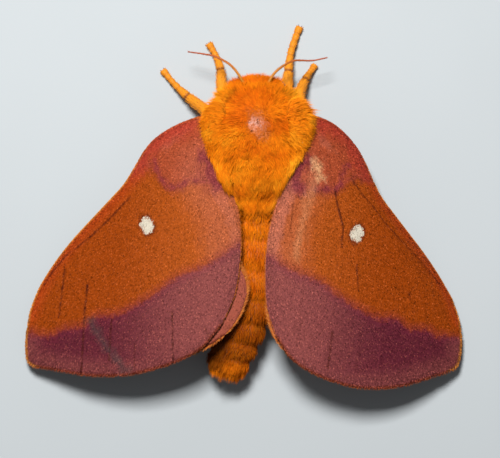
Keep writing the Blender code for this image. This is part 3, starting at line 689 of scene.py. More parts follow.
def wing_material(name, s, hind=False):
    """Flat wing scales of chitin: satin, speckled by scale, with the wing's fields, lines, spot and wear."""
    material, tree, shader = start_material(name, Roughness=0.6, IOR=1.55, Specular_IOR_Level=0.05)
    place, lines, tints, wear = (
        add(tree, "SeparateXYZ", [add(tree, "Attribute", attribute_name=key).outputs["Vector"]]).outputs
        for key in ("place", "lines", "tints", "wear"))
    shade = add(tree, "Attribute", attribute_name="shade").outputs["Fac"]
    at = add(tree, "TexCoord").outputs["Object"]
    # Borders wander by about 0.25 mm
    wander = add(tree, "TexNoise", {"Vector": at, "Scale": 2600.0, "Detail": 3.0})
    # Single scales are about 0.1 mm across
    speck = add(tree, "TexNoise", {"Vector": at, "Scale": 9000.0, "Detail": 1.0})
    # The outer band and the basal field, and the line round each
    offset = add(tree, "Math", (wander, 0.5), operation="SUBTRACT")
    field, line = {}, {}
    for key, source, wide, reach, strength in (("outer", lines["X"], 0.8, 0.85, 0.0 if hind else 0.34),
                                               ("basal", lines["Y"], 1.2, 0.7, 0.3)):
        shifted = add(tree, "Math", (offset, wide, source), operation="MULTIPLY_ADD")
        field[key] = add(tree, "MapRange", (shifted, -0.25, 0.3), **SMOOTH)
        far = add(tree, "Math", [shifted], operation="ABSOLUTE")
        line[key] = add(tree, "MapRange", (far, 0.0, reach, 1.0, 0.0), **SMOOTH)
        line[key] = add(tree, "Math", (line[key], strength), operation="MULTIPLY")
    # Each part's source, where it starts and ends on it, and its strength at each
    to_apex, from_margin, from_costa = place
    part = {key: add(tree, "MapRange", ends, **SMOOTH) for key, ends in {
        "inner": (to_apex, 0.55, 0.0, 0.0, 0.6),
        "costa": (from_costa, 0.2, 1.6, 0.6, 0.0),
        "paler": (to_apex, 0.6, 0.0, 0.0, 1.0),
        "by_margin": (from_margin, 0.4, 2.4, 0.6, 0.0),
        "margin": (from_margin, 0.08, 0.3, 0.75, 0.0),
        "edge": (from_costa, 0.06, 0.26, 0.75, 0.0),
        "outward": (to_apex, 0.25, 0.5, 0.15, 1.0),
        "tip": (to_apex, 0.91, 0.98, 0.0, 0.7),
    }.items()}
    paler = add(tree, "Math", (part["paler"], part["by_margin"]), operation="MAXIMUM")
    near, far = (s.band_light, s.hind) if hind else (s.band, s.band_light)
    band = add(tree, "Mix", {0: paler, 6: near, 7: far}, **OVER)
    edge = add(tree, "Math", (part["edge"], part["outward"]), operation="MULTIPLY")
    tip = add(tree, "Math", (part["margin"], part["tip"]), operation="MULTIPLY")
    edge = add(tree, "Math", (edge, tip), operation="MAXIMUM")
    # A few scales are pale, as where their colour has worn off
    pale = add(tree, "MapRange", (shade, 0.55, 1.0, 0.0, 0.08))
    # Every colour in turn goes over the ones before it
    base = s.median
    for share, colour in ((part["inner"], s.warm), (part["costa"], s.costa), (field["basal"], s.basal),
                          (line["basal"], s.line), (tints["Z"], s.inner), (field["outer"], band),
                          (line["outer"], s.line), (tints["Y"], s.shoulder), (tints["X"], s.line),
                          (part["margin"], s.margin), (edge, s.edge), (wear["X"], s.streak),
                          (wear["Y"], s.worn), (wear["Z"], linear("#D9A878")), (pale, linear("#E0885A"))):
        base = add(tree, "Mix", {0: share, 6: base, 7: colour}, **OVER)
    mottle = add(tree, "Math", (speck, 0.64, 0.27), operation="MULTIPLY_ADD")
    scale = add(tree, "Math", (shade, 0.92, mottle), operation="MULTIPLY_ADD")
    final = add(tree, "Mix", {0: 1.0, 6: base, 7: scale}, **TIMES)
    final = add(tree, "Mix", {0: lines["Z"], 6: final, 7: s.spot}, **OVER)
    bump = add(tree, "Bump", {"Height": speck, "Strength": 0.25, "Distance": 0.02 * MM})
    fill(tree, shader, {"Base Color": final, "Normal": bump})
    return material


def fringe_material(s):
    """Hair scales of the wing margins: dry, matt, a little unlike one another."""
    material, tree, shader = start_material("fringe_hair", Roughness=0.7, IOR=1.55, Specular_IOR_Level=0.1)
    shade = add(tree, "Attribute", attribute_name="shade")
    stops = [(0.0, linear("#4A1810")), (0.5, s.fringe_colour), (1.0, linear("#E8AC50"))]
    fill(tree, shader, {"Base Color": add(tree, "ValToRGB", [shade.outputs["Fac"]], stops)})
    return material


def limb_material(name, first, last, ring, rough):
    """Scaled cuticle of a leg or antenna: its colour drifts along it, with dark rings at its joints."""
    material, tree, shader = start_material(name, IOR=1.56, Roughness=rough, Specular_IOR_Level=0.2)
    marks = add(tree, "Attribute", attribute_name="limb")
    along, rings, light = add(tree, "SeparateXYZ", [marks.outputs["Vector"]]).outputs
    place = add(tree, "TexCoord").outputs["Object"]
    # Flat scales about 0.1 mm across
    grain = add(tree, "TexNoise", {"Vector": place, "Scale": 9000.0, "Detail": 2.0})
    colour = add(tree, "Mix", {0: along, 6: first, 7: last}, **OVER)
    dim = add(tree, "MapRange", (grain, 0.3, 0.7, 0.72, 1.08))
    light = add(tree, "Math", (dim, light), operation="MULTIPLY")
    colour = add(tree, "Mix", {0: 1.0, 6: colour, 7: light}, **TIMES)
    colour = add(tree, "Mix", {0: rings, 6: colour, 7: ring}, **OVER)
    bump = add(tree, "Bump", {"Height": grain, "Strength": 0.5, "Distance": 0.03 * MM})
    fill(tree, shader, {"Base Color": colour, "Normal": bump})
    return material


def claw_material(s):
    """Bare hard cuticle of claws and spurs: dark brown, with a soft gloss that rough streaks break."""
    material, tree, shader = start_material("bare_cuticle", IOR=1.56)
    place = add(tree, "TexCoord").outputs["Object"]
    streak = add(tree, "TexNoise", {"Vector": place, "Scale": 7000.0, "Detail": 2.0})
    colour = add(tree, "Mix", {0: streak, 6: s.claw, 7: linear("#6B3A1C")}, **OVER)
    rough = add(tree, "MapRange", (streak, 0.3, 0.7, 0.25, 0.45))
    fill(tree, shader, {"Base Color": colour, "Roughness": rough})
    return material


def eye_material(s):
    """Cornea of a compound eye: very dark, smooth and glossy, broken into fine facets."""
    material, tree, shader = start_material("compound_eye", IOR=1.5, Coat_Weight=0.15, Coat_Roughness=0.1)
    place = add(tree, "TexCoord").outputs["Object"]
    # Real facets are about 0.025 mm; they are drawn at 0.07 mm so that they show
    facet = add(tree, "TexVoronoi", {"Vector": place, "Scale": 14000.0, "Randomness": 0.25},
                feature="DISTANCE_TO_EDGE")
    cell = add(tree, "MapRange", (facet.outputs["Distance"], 0.0, 0.25, 0.0, 1.0))
    colour = add(tree, "Mix", {0: cell, 6: linear("#070403"), 7: s.eye}, **OVER)
    rough = add(tree, "MapRange", (cell, 0.0, 1.0, 0.5, 0.18))
    bump = add(tree, "Bump", {"Height": cell, "Strength": 0.5, "Distance": 0.01 * MM})
    fill(tree, shader, {"Base Color": colour, "Roughness": rough, "Normal": bump})
    return material


def floor_material(s):
    """Matt painted board: plain and pale, with a faint unevenness."""
    material, tree, shader = start_material("matt_board", Roughness=0.85)
    place = add(tree, "TexCoord").outputs["Object"]
    cloud = add(tree, "TexNoise", {"Vector": place, "Scale": 60.0, "Detail": 2.0})
    light = add(tree, "MapRange", (cloud, 0.3, 0.7, 0.98, 1.0))
    fill(tree, shader, {"Base Color": add(tree, "Mix", {0: 1.0, 6: s.floor, 7: light}, **TIMES)})
    return material


# Body

def egg_reach(points, centre, half, back=None):
    """How far out each point lies in an egg whose surface is at 1."""
    d = points - centre
    size = np.where(d[..., 1] > 0, half[1], half[1] if back is None else back)
    return np.sqrt((d[..., 0] / half[0]) ** 2 + (d[..., 1] / size) ** 2 + (d[..., 2] / half[2]) ** 2)


def add_egg(bm, centre, half, back=None):
    """An egg with its poles to the front and the back, and its own reach to the back where one is given."""
    made = bmesh.ops.create_uvsphere(bm, radius=1.0, **EGG_SEGMENTS)
    for v in made["verts"]:
        x, y, z = v.co.x, v.co.z, -v.co.y
        reach = half[1] if y > 0 or back is None else back
        v.co = Vector(centre) + Vector((x * half[0], y * reach, z * half[2]))


def abdomen_rows(shares):
    """Middle, half sizes and the ways along, across and up at shares of the abdomen's length, as arrays."""
    rows = np.array(ABDOMEN_LINE) * MM
    knots = np.linspace(0, 1, len(rows))
    smooth = smooth_line(np.column_stack([rows, knots * 4 * MM]), np.linspace(0, 1, 200))

    def at(share):
        return np.stack([np.interp(share, smooth[:, 5] / (4 * MM), column) for column in smooth[:, :5].T], -1)

    here, step = at(shares), 0.01
    along = unit((at(np.minimum(1, shares + step)) - at(np.maximum(0, shares - step)))[..., :3])
    across = unit(np.cross(along, (0.0, 0.0, 1.0)))
    return here[..., :3], here[..., 3:], along, across, np.cross(across, along)


def segment_phase(shares):
    """Place within a segment of the abdomen, from 0 at its front edge to 1 at its rear."""
    return (shares * ABDOMEN_SEGMENTS) % 1.0


def add_abdomen(bm):
    """The abdomen's core from a sphere: its parallels become rings along it, pinched at each joint."""
    cap = 0.012
    made = bmesh.ops.create_uvsphere(bm, radius=1.0, **ABDOMEN_SPHERE)
    verts = made["verts"]
    co = np.array([v.co for v in verts])
    way = np.arccos(np.clip(co[:, 2], -1, 1)) / math.pi
    turn = np.arctan2(co[:, 1], co[:, 0])
    shares = np.clip((way - cap) / (1 - 2 * cap), 0, 1)
    shrink = np.clip(np.minimum(way, 1 - way) / cap, 0, 1)
    middle, half, _, across, up = abdomen_rows(shares)
    pinch = shrink * (1 - RING_DIP * np.abs(np.cos(math.pi * ABDOMEN_SEGMENTS * shares)) ** 3)
    wide, high = pinch * (half[:, 0] - ABDOMEN_COAT), pinch * (half[:, 1] - ABDOMEN_COAT)
    places = middle + across * (wide * np.cos(turn))[:, None] + up * (high * np.sin(turn))[:, None]
    for v, p in zip(verts, places):
        v.co = p


def body_axis(y):
    """The x and z of the body's middle at each y."""
    abdomen = np.array(ABDOMEN_LINE[::-1])[:, :3] * MM
    x, ys, z = np.vstack([abdomen, THORAX_CENTRE, HEAD_CENTRE]).T
    return np.interp(y, ys, x), np.interp(y, ys, z)


def body_bake(points):
    """Where points of the body lie on its unwrapped skin: round the body and along it, both from 0 to 1."""
    x, z = body_axis(points[:, 1])
    round_ = np.arctan2(points[:, 0] - x, -(points[:, 2] - z)) / math.tau + 0.5
    low, high = -17.0 * MM, 13.0 * MM
    return np.stack([0.01 + 0.98 * round_, 0.01 + 0.98 * (points[:, 1] - low) / (high - low)], 1)


def abdomen_share(points):
    """Each point's share of the abdomen's length."""
    shares = np.linspace(0, 1, 200)
    middle = abdomen_rows(shares)[0]
    return np.interp(-points[:, 1], -middle[:, 1], shares)


def zone_of(points):
    """0 on the head, 1 on the thorax with its collar and shoulders, 2 on the abdomen."""
    zone = np.full(len(points), 2)
    thorax = egg_reach(points, THORAX_CENTRE, THORAX_HALF, THORAX_BACK)
    waist = egg_reach(points, WAIST_CENTRE, WAIST_HALF)
    zone[(thorax < 1.12) | ((waist < 1.1) & (points[:, 1] > -0.3 * MM)) | (points[:, 1] > 3.6 * MM)] = 1
    head = egg_reach(points, HEAD_CENTRE, HEAD_HALF)
    collar = egg_reach(points, COLLAR_CENTRE, COLLAR_HALF)
    zone[(points[:, 1] > 9.9 * MM) & (head < collar)] = 0
    return zone


def patch_of(points, spread=1.0):
    """1 in the middle of the worn patch, falling to 0 at its edge, or farther in for a larger spread."""
    x, y = (points[:, :2] - PATCH_CENTRE[:2]).T
    c, s = math.cos(PATCH_TURN), math.sin(PATCH_TURN)
    reach = np.hypot((x * c + y * s) / PATCH_HALF[0], (y * c - x * s) / PATCH_HALF[1]) * spread
    return smoothstep((1.15 - reach - 0.15 * ripple(points, 1.2 * MM, 5)) / 0.5) * (points[:, 2] > 7.0 * MM)


def parting_of(points):
    """1 on the partings between the collar and the shoulders, falling to 0 beside them."""
    best = np.full(len(points), np.inf)
    for line in PARTINGS:
        best = np.minimum(best, distance_to(points[:, :2], np.array(line) * MM))
    return smoothstep(1 - best / (0.34 * MM)) * (points[:, 2] > 6.5 * MM)


def coat_marks(points, rng=None, zone=None):
    """The coat's tone from deep orange to yellow, its lightness with painted shade in places, and how worn it
    is, on skin and tufts.
    """
    zone = zone_of(points) if zone is None else np.full(len(points), zone)
    x, y, z = points.T / MM
    aside = np.abs(x - MIDDLE / MM)
    # Thorax: yellow to the sides and on the right of the back, and deeper in the middle of the front
    back = ramp(y, 8.0, 4.0) * ramp(y, 2.0, 5.0)
    tone = 0.42 + 0.16 * ramp(aside, 2.2, 4.4) + 0.25 * ramp(x, 1.5, 5.0) * back
    tone = tone + 0.14 * ripple(points, 2.6 * MM, 3)
    front, outer = ramp(y, 8.6, 10.2), ramp(aside, 1.4, 2.7)
    tone = tone * (1 - front) + front * (0.26 + 0.52 * outer)
    # Head: deep on the brow, yellow on the cheeks
    brow = np.exp(-((y - 11.2) / 0.35) ** 2)
    tone = np.where(zone == 0, 0.34 - 0.3 * brow + 0.6 * ramp(aside, 1.1, 2.6), tone)
    # Abdomen: deep orange, dark at the joints, darker to the rear, and with a painted wing shadow on one side
    near = ramp(y, -5.5, -1.0)
    tone = np.where(zone == 2, 0.17 + 0.12 * near + 0.12 * ripple(points, 2.0 * MM, 6), tone)
    round_patch = patch_of(points, 0.46)
    tone = tone - 0.26 * round_patch
    light = (1.0 + 0.06 * ripple(points, 1.3 * MM, 8)) * (1 - 0.12 * round_patch)
    phase = segment_phase(abdomen_share(points))
    # To the rear it darkens: partly the abdomen's own deeper colour, partly painted shade
    rear = ramp(y, -5.5, -12.0) * (1 - 0.9 * ramp(y, -14.2, -15.2))
    joint = np.minimum(phase, 1 - phase)
    banded = (0.62 + 0.34 * smoothstep(joint / 0.17)) * (1 + 0.1 * near) * (1 - 0.44 * rear)
    # Painted shadow of the left wing on the abdomen's rear side
    painted_flank_shadow = ramp(x - body_axis(points[:, 1])[0] / MM, 0.1, -0.7)
    painted_flank_shadow *= ramp(y, -10.5, -12.0) * (1 - ramp(y, -14.3, -14.9))
    light = np.where(zone == 2, light * banded * (1 - 0.45 * painted_flank_shadow), light)
    # Painted shade in the partings between collar and shoulders, and the outer front a little lighter
    light *= (1 - 0.6 * parting_of(points)) * (1 + 0.1 * front * outer)
    # The wedge's folds and its border, darkened with painted shade
    behind = (zone == 1) * ramp(y, 4.4, 2.0) * ramp(y, -1.2, -0.2)
    crease_shade = np.exp(-(ripple(points * (1.0, 1.5, 0.0), 2.4 * MM, 9) / 0.2) ** 2)
    beside = np.abs(points[:, 0] - coat_middle(points[:, 1])) / coat_reach(points[:, 1])
    light *= 1 - behind * (0.1 + 0.3 * crease_shade) - 0.2 * behind * ramp(beside, 0.5, 0.9)
    # Low at the front it is a little paler
    low = (zone == 1) * ramp(z, 5.6, 3.6) * ramp(y, 8.0, 9.0)
    tone, light = tone + 0.2 * low, light * (1 + 0.3 * low)
    worn = patch_of(points)
    if rng is not None:
        tone = tone + rng.normal(0, 0.1, len(points))
        light = light * rng.uniform(0.78, 1.12, len(points))
    return np.stack([np.clip(tone, 0, 1), light, 0.55 * worn], 1)


def make_skin(s):
    """Head, neck, thorax, shoulders, palps and abdomen, fused into one closed skin."""
    bm = bmesh.new()
    add_egg(bm, THORAX_CENTRE, THORAX_HALF, THORAX_BACK)
    for centre, half in ((COLLAR_CENTRE, COLLAR_HALF), (HEAD_CENTRE, HEAD_HALF), (WAIST_CENTRE, WAIST_HALF)):
        add_egg(bm, centre, half)
    for sign in (-1, 1):
        add_egg(bm, (SHOULDER_MIDDLE + sign * SHOULDER[0], *SHOULDER[1:]), SHOULDER_HALF)
        add_egg(bm, HEAD_CENTRE + PALP * (sign, 1, 1), PALP_HALF)
    add_abdomen(bm)
    obj = linked("skin_forms", mesh_from("skin", bm))
    remesh = obj.modifiers.new("fuse", "REMESH")
    remesh.mode = "VOXEL"
    remesh.voxel_size = s.voxel
    soften = obj.modifiers.new("soften", "SMOOTH")
    soften.factor = 0.5
    soften.iterations = 4
    skin = evaluated_mesh(obj)
    bpy.data.objects.remove(obj)
    skin.name = "skin"
    set_attribute(skin, "coat", coat_marks(points_of(skin)))
    return skin


def skin_samples(skin, keep, density, count, rng):
    """Roots on the skin's kept faces, in proportion to area and density, with their normals."""
    centres, normals, areas = faces_of(skin)
    chosen = np.flatnonzero(keep(centres))
    index = chosen[systematic(areas[chosen] * density(centres[chosen]), count, rng)]
    jitter = rng.uniform(-0.5, 0.5, (count, 3)) * np.sqrt(areas[index])[:, None]
    outs = normals[index]
    jitter -= (jitter * outs).sum(1, keepdims=True) * outs
    return centres[index] + jitter, outs


def tilt(lies, amount, rng):
    """Turns each way by a small random amount."""
    return unit(lies) + rng.normal(0, amount, lies.shape)


def coat_middle(y):
    """The x midway between the coat's borders, seen from above."""
    ys, left, right = np.array(OUTLINE).T * MM
    return np.interp(y, ys, (left + right) / 2)


def coat_reach(y):
    """Half the width of the coat, seen from above."""
    ys, left, right = np.array(OUTLINE).T * MM
    return np.interp(y, ys, (right - left) / 2)


def make_thorax_coat(skin, s, part, maps, rng):
    """Tufts that lie away from the worn patch, out over the wing roots and in a wedge back over the abdomen.

    part is -1 or 1 for the left or right of the back, and 0 for the sides and the breast.
    """
    border = 5.9 * MM

    def upper(p):
        inside = np.abs(p[:, 0] - coat_middle(p[:, 1])) < coat_reach(p[:, 1]) - 0.15 * MM
        covered = (p[:, 1] > WEDGE_START) | ((p[:, 2] < 6.6 * MM) & (p[:, 1] > 0.8 * MM))
        own_side = (p[:, 0] > MIDDLE) == (part > 0)
        return (p[:, 2] > border) & covered & (inside | (p[:, 1] > 6.5 * MM)) & own_side

    count = s.thorax_tufts * (18 if part == 0 else 41) // 100
    roots, outs = skin_samples(skin, lambda p: (zone_of(p) == 1) & (upper(p) if part else p[:, 2] <= border),
                               lambda p: 1.0 - 0.5 * patch_of(p), count, rng)
    x, y, _ = roots.T / MM
    # To the back they aim along the coat's border, at the front out and forward
    sideways = (x - MIDDLE / MM) / 3.5
    middle_line = coat_middle(roots[:, 1])
    half = np.abs(roots[:, 0] - middle_line)
    run = 0.8 * s.thorax_hair
    aim = np.minimum(1.3 * half + 0.1 * MM, coat_reach(roots[:, 1] - run))
    spread = np.sign(roots[:, 0] - middle_line) * (aim - half) / run
    wedge = np.stack([spread, np.full(count, -1.0), 0.12 * np.abs(spread)], 1)
    back, front = ramp(y, 6.6, 4.1)[:, None], ramp(y, 9.2, 10.6)[:, None]
    away = roots - (PATCH_CENTRE - (0, 0, 1.5 * MM))
    lies = (1 - back) * (unit(away) + (0.0, -0.25, -0.05)) + back * wedge
    ahead = np.stack([1.1 * sideways, np.full(count, 0.85), np.full(count, 0.05)], 1)
    lies = (1 - front) * lies + front * ahead
    back, front = back[:, 0], front[:, 0]
    top = ramp(outs[:, 2], 0.82, 0.96)
    lies = tilt(lies, 0.13 + 0.25 * top[:, None], rng)
    # Short along the middle, on the worn patch and on the partings, and long to the sides
    length = s.thorax_hair * (0.68 + 0.32 * ramp(np.abs(x - MIDDLE / MM), 0.4, 3.0)) * (1 - 0.32 * front)
    length = length * rng.uniform(0.65, 1.08, count)
    length *= (1 - 0.68 * patch_of(roots)) * (1 - 0.4 * parting_of(roots)) * (1 - 0.45 * ramp(y, 1.8, -1.2))
    rise = np.minimum(length * (rng.uniform(0.3, 0.55, count) + 0.22 * top), 0.95 * MM) * (1 + 0.2 * front)
    length *= (1 - 0.4 * top) * np.where(rng.random(count) < 0.08, 1.4, 1.0)
    beside = patch_of(roots, 0.5)
    rise *= 1 - 0.75 * beside
    length *= (1 - 0.3 * beside) * (1 + 0.1 * np.clip(sideways, -1, 1) * (1 - front))
    if part:
        slack = rng.uniform(-0.2, 0.2, count) * MM * np.where(y > 5.2, 2.6, 1.0)
        for _ in range(4):
            tips = roots + unit(lies) * length[:, None]
            beyond = np.abs(tips[:, 0] - coat_middle(tips[:, 1])) - coat_reach(tips[:, 1]) - slack
            length *= 1 - np.clip(beyond / length, 0, 0.4) * ramp(tips[:, 1] / MM, 6.8, 5.8)
    width = s.tuft_width * rng.uniform(0.7, 1.15, count)
    over = back * ramp(half / MM, 1.1, 2.0)
    flat = 1 - 0.65 * np.maximum(over, front) * (part != 0)
    return tuft_mesh("thorax_coat", roots, outs, lies, (length, rise, width), body_bake(roots),
                     {"coat": coat_marks(roots, rng)}, rng, clump=40, pull=0.32, flat=flat,
                     limits=wing_limits(maps, OVER_WINGS))


def blurred_map(values, times):
    """A map whose cells are evened out with their neighbours this many times."""
    for _ in range(times):
        values = neighbours(values).mean(0)
    return values


def make_wedge_coat(skin, s, maps, rng):
    """Tufts that run back over skin and wing roots, in a wedge that narrows to a point on the abdomen."""
    heights = np.full(maps[0].shape, -np.inf)
    co = points_of(skin)
    np.maximum.at(heights, map_cell(co), co[:, 2])
    for _ in range(2):
        heights = neighbours(heights).max(0)
    heights = np.maximum(np.maximum(heights, maps[0]), 5.0 * MM)
    heights = blurred_map(np.maximum(heights, blurred_map(heights, 60)), 4)
    slope = np.gradient(heights, MAP_CELL)
    ys = np.linspace(-1.0 * MM, 4.0 * MM, 60)
    y = ys[systematic(coat_reach(ys), s.wedge_tufts, rng)] + rng.uniform(-0.05, 0.05, s.wedge_tufts) * MM
    half = coat_reach(y) - 0.04 * MM
    across = rng.uniform(-1, 1, len(y))
    roots = np.stack([coat_middle(y) + across * half, y, 0 * y], 1)
    cell = map_cell(roots)
    roots[:, 2] = heights[cell] + rng.uniform(-0.1, 0.25, len(y)) * MM * (1 - across ** 2)
    outs = unit(np.stack([0.5 * across - slope[0][cell], -slope[1][cell], np.ones(len(y))], 1))
    narrowing = (coat_reach(y + 0.3 * MM) - coat_reach(y - 0.3 * MM)) / (0.6 * MM)
    lies = tilt(np.stack([-across * narrowing, np.full(len(y), -1.0), 0 * y], 1), 0.16, rng)
    length = s.thorax_hair * (0.42 + 0.33 * ramp(y / MM, -1.0, 3.0)) * rng.uniform(0.65, 1.1, len(y))
    # At the wedge's end they sink into the abdomen's coat
    end = ramp(y / MM, 0.6, -0.8)
    roots[:, 2] -= 0.9 * MM * end ** 2
    rise = length * rng.uniform(0.15, 0.38, len(y)) * (1 - 0.7 * end)
    lies[:, 2] -= 0.35 * end
    width = s.tuft_width * rng.uniform(0.7, 1.1, len(y))
    marks = coat_marks(roots, rng, zone=1) * np.stack([1 - 0.4 * end, 1 - 0.1 * end, 1 + 0 * end], 1)
    return tuft_mesh("wedge_coat", roots, outs, lies, (length, rise, width), body_bake(roots),
                     {"coat": marks}, rng, bend=9.0 * MM, clump=36, pull=0.34)


def eye_centre(sign):
    """The middle of the left eye for -1 and of the right one for 1."""
    return HEAD_CENTRE + EYE_OFFSET * (sign, 1, 1)


def make_head_coat(skin, s, rng):
    """Shorter tufts that lie away from the crown, out over the eyes and forward over the brow."""
    roots, outs = skin_samples(skin, lambda p: zone_of(p) == 0, lambda p: np.ones(len(p)), s.head_tufts, rng)
    crown = HEAD_CENTRE + np.array((0.0, -1.7, 1.0)) * MM
    lies = tilt(unit(roots - crown) * (1.3, 1, 0.35), 0.14, rng)
    face = ramp((roots[:, 2] - HEAD_CENTRE[2]) / MM, 0.4, -0.6)
    beside = ramp(np.abs(roots[:, 0] - MIDDLE) / MM, 0.9, 1.7)
    length = s.head_hair * (0.85 + 0.3 * beside * (1 - face) - 0.5 * face) * rng.uniform(0.7, 1.1, len(roots))
    rise = length * rng.uniform(0.3, 0.5, len(roots))
    width = 0.85 * s.tuft_width * rng.uniform(0.7, 1.1, len(roots))
    eyes = np.minimum(*(np.linalg.norm(roots - eye_centre(sign), axis=1) for sign in (-1, 1)))
    clear = eyes > EYE_RADIUS + 0.08 * MM
    length, rise, width, face = (v[clear] for v in (length, rise, width, face))
    roots, outs, lies = (v[clear] for v in (roots, outs, lies))
    return tuft_mesh("head_coat", roots, outs, lies, (length, rise, width), body_bake(roots),
                     {"coat": coat_marks(roots, rng)}, rng, bend=3.0 * MM, clump=24, pull=0.3,
                     flat=1 - 0.5 * (1 - face))


def make_abdomen_coat(skin, s, maps, rng):
    """Tufts that lie to the back, longest at the rear edge of each segment, which hides the joint."""
    roots, outs = skin_samples(skin, lambda p: (zone_of(p) == 2) | (np.abs(p[:, 1] - 0.5 * MM) < MM),
                               lambda p: np.ones(len(p)), s.abdomen_tufts, rng)
    shares = abdomen_share(roots)
    _, _, along, _, _ = abdomen_rows(shares)
    lies = tilt(along + 0.25 * outs * (1, 0, 1), 0.2, rng)
    phase = segment_phase(shares)
    length = s.abdomen_hair * (0.7 + 0.45 * ramp(phase, 0.4, 0.9)) * rng.uniform(0.75, 1.15, len(roots))
    rise = length * rng.uniform(0.25, 0.45, len(roots))
    width = 0.82 * s.tuft_width * rng.uniform(0.7, 1.15, len(roots))
    return tuft_mesh("abdomen_coat", roots, outs, lies, (length, rise, width), body_bake(roots),
                     {"coat": coat_marks(roots, rng)}, rng, bend=30 * MM, clump=24, pull=0.3,
                     limits=wing_limits(maps, ABOVE_ALL))


def make_brush(skin, s, rng):
    """Straight bristles that end the abdomen in a blunt brush."""
    (middle,), _, (along,), _, _ = abdomen_rows(np.array([1.0]))
    start = middle - along * 1.1 * MM
    roots, outs = skin_samples(skin, lambda p: (p - start) @ along > 0, lambda p: np.ones(len(p)),
                               s.brush_tufts, rng)
    radial = roots - middle
    radial -= (radial @ along)[:, None] * along
    lies = tilt(along + 150.0 * radial, 0.12, rng)
    flat = (roots - middle) @ along > -0.15 * MM
    outs = np.where(flat[:, None], unit(unit(radial) + 0.02 * along), outs)
    beside = np.linalg.norm(radial, axis=1) / (1.6 * MM)
    length = s.brush_hair * (0.72 + 0.28 * beside) * rng.uniform(0.62, 1.1, len(roots))
    width = 0.9 * s.tuft_width * rng.uniform(0.7, 1.1, len(roots))
    marks = coat_marks(roots, rng) * (1.0, 1.02, 1.0) + (0.12, 0.0, 0.0)
    return tuft_mesh("brush", roots, outs, lies, (length, 0.08 * length, width), body_bake(roots),
                     {"coat": marks}, rng, bend=200 * MM, clump=26, pull=0.5)


# Wings

def wing_shares(side, kind, rows, columns):
    """Shares of a grid of points that fills a wing, from root to outer and from costa to inner margin."""
    edges = EDGES[kind]
    front, back = smooth_line(edges["costa"], rows), smooth_line(edges["inner"], rows)
    rim = smooth_line(edges["outer"], columns)
    u, c = rows[:, None, None], columns[None, :, None]
    root = front[0] + c * (back[0] - front[0])
    bulge = SIDES[side]["outer_bulge"] * np.sin(math.pi * columns)
    edge = rim[None] + np.stack([0 * columns, bulge], 1)[None]
    corners = root + u * (rim[0] + c * (rim[-1] - rim[0]) - root)
    return front[:, None] * (1 - c) + back[:, None] * c + root + u * (edge - root) - corners


def wing_places(side, kind, shares):
    """Where shares of a wing lie in space, on the middle of the membrane."""
    s = SIDES[side]
    if kind == "hind":
        shares = shares + s["hind_tuck"] * shares[..., 1:]
    a, t = shares[..., :1], shares[..., 1:]
    a = a + s["inner_gap"] * smoothstep((0.15 - a) / 0.3)
    fold = np.where(t < 0, 1 - s["costa_fold"] * smoothstep(a / 0.5), 1.0)
    places = s["root"] + a * (s["apex"] - s["root"]) + t * fold * (s["tornus"] - s["root"])
    rise = np.where(t > 0, 4 * WING_CAMBER * a * t, -s["costa_drop"] * (t / 0.3) ** 2)
    places[..., 2] += rise[..., 0] - (HINDWING_DROP if kind == "hind" else 0.0)
    return places


def plan(side, shares):
    """Shares of a wing as places on the plan, in metres, so that distances on the wing can be measured."""
    s = SIDES[side]
    shares = np.asarray(shares, float)
    return shares[..., :1] * (s["apex"] - s["root"])[:2] + shares[..., 1:] * (s["tornus"] - s["root"])[:2]


def wing_heights():
    """Maps from above of the forewings' upper side and of the lowest side of all wings."""
    top, bottom = np.full(MAP_CELLS, -np.inf), np.full(MAP_CELLS, np.inf)
    fine = np.linspace(0, 1, 420)
    for side, kind in WINGS.values():
        places = wing_places(side, kind, wing_shares(side, kind, fine, fine)).reshape(-1, 3)
        cell = map_cell(places)
        if kind == "fore":
            np.maximum.at(top, cell, places[:, 2] + SOLID_HALF + 0.07 * MM)
        np.minimum.at(bottom, cell, places[:, 2] - 0.05 * MM)
    return top, bottom


def map_cell(points):
    """The map's cell under each point, as a pair of index arrays."""
    cells = np.clip((points[..., :2] - MAP_CORNER) / MAP_CELL, 0, MAP_CELLS - 1).astype(int)
    return tuple(np.moveaxis(cells, -1, 0))


def neighbours(values):
    """A map shifted by a cell each way, as nine maps."""
    return np.stack([np.roll(values, (i, j), (0, 1)) for i in (-1, 0, 1) for j in (-1, 0, 1)])


def wing_limits(maps, over):
    """Keeps tufts over the wings where their roots are higher than over, and otherwise under them."""
    top, bottom = maps

    def heights(roots, line, rng):
        cell = map_cell(line)
        layer = rng.uniform(0.05, 0.6, (len(roots), 1)) * MM
        above = np.maximum(line[..., 2], top[cell] + layer)
        below = np.minimum(line[..., 2], bottom[cell] - layer)
        return np.where((roots[:, 2] > over)[:, None], above, below)

    return heights


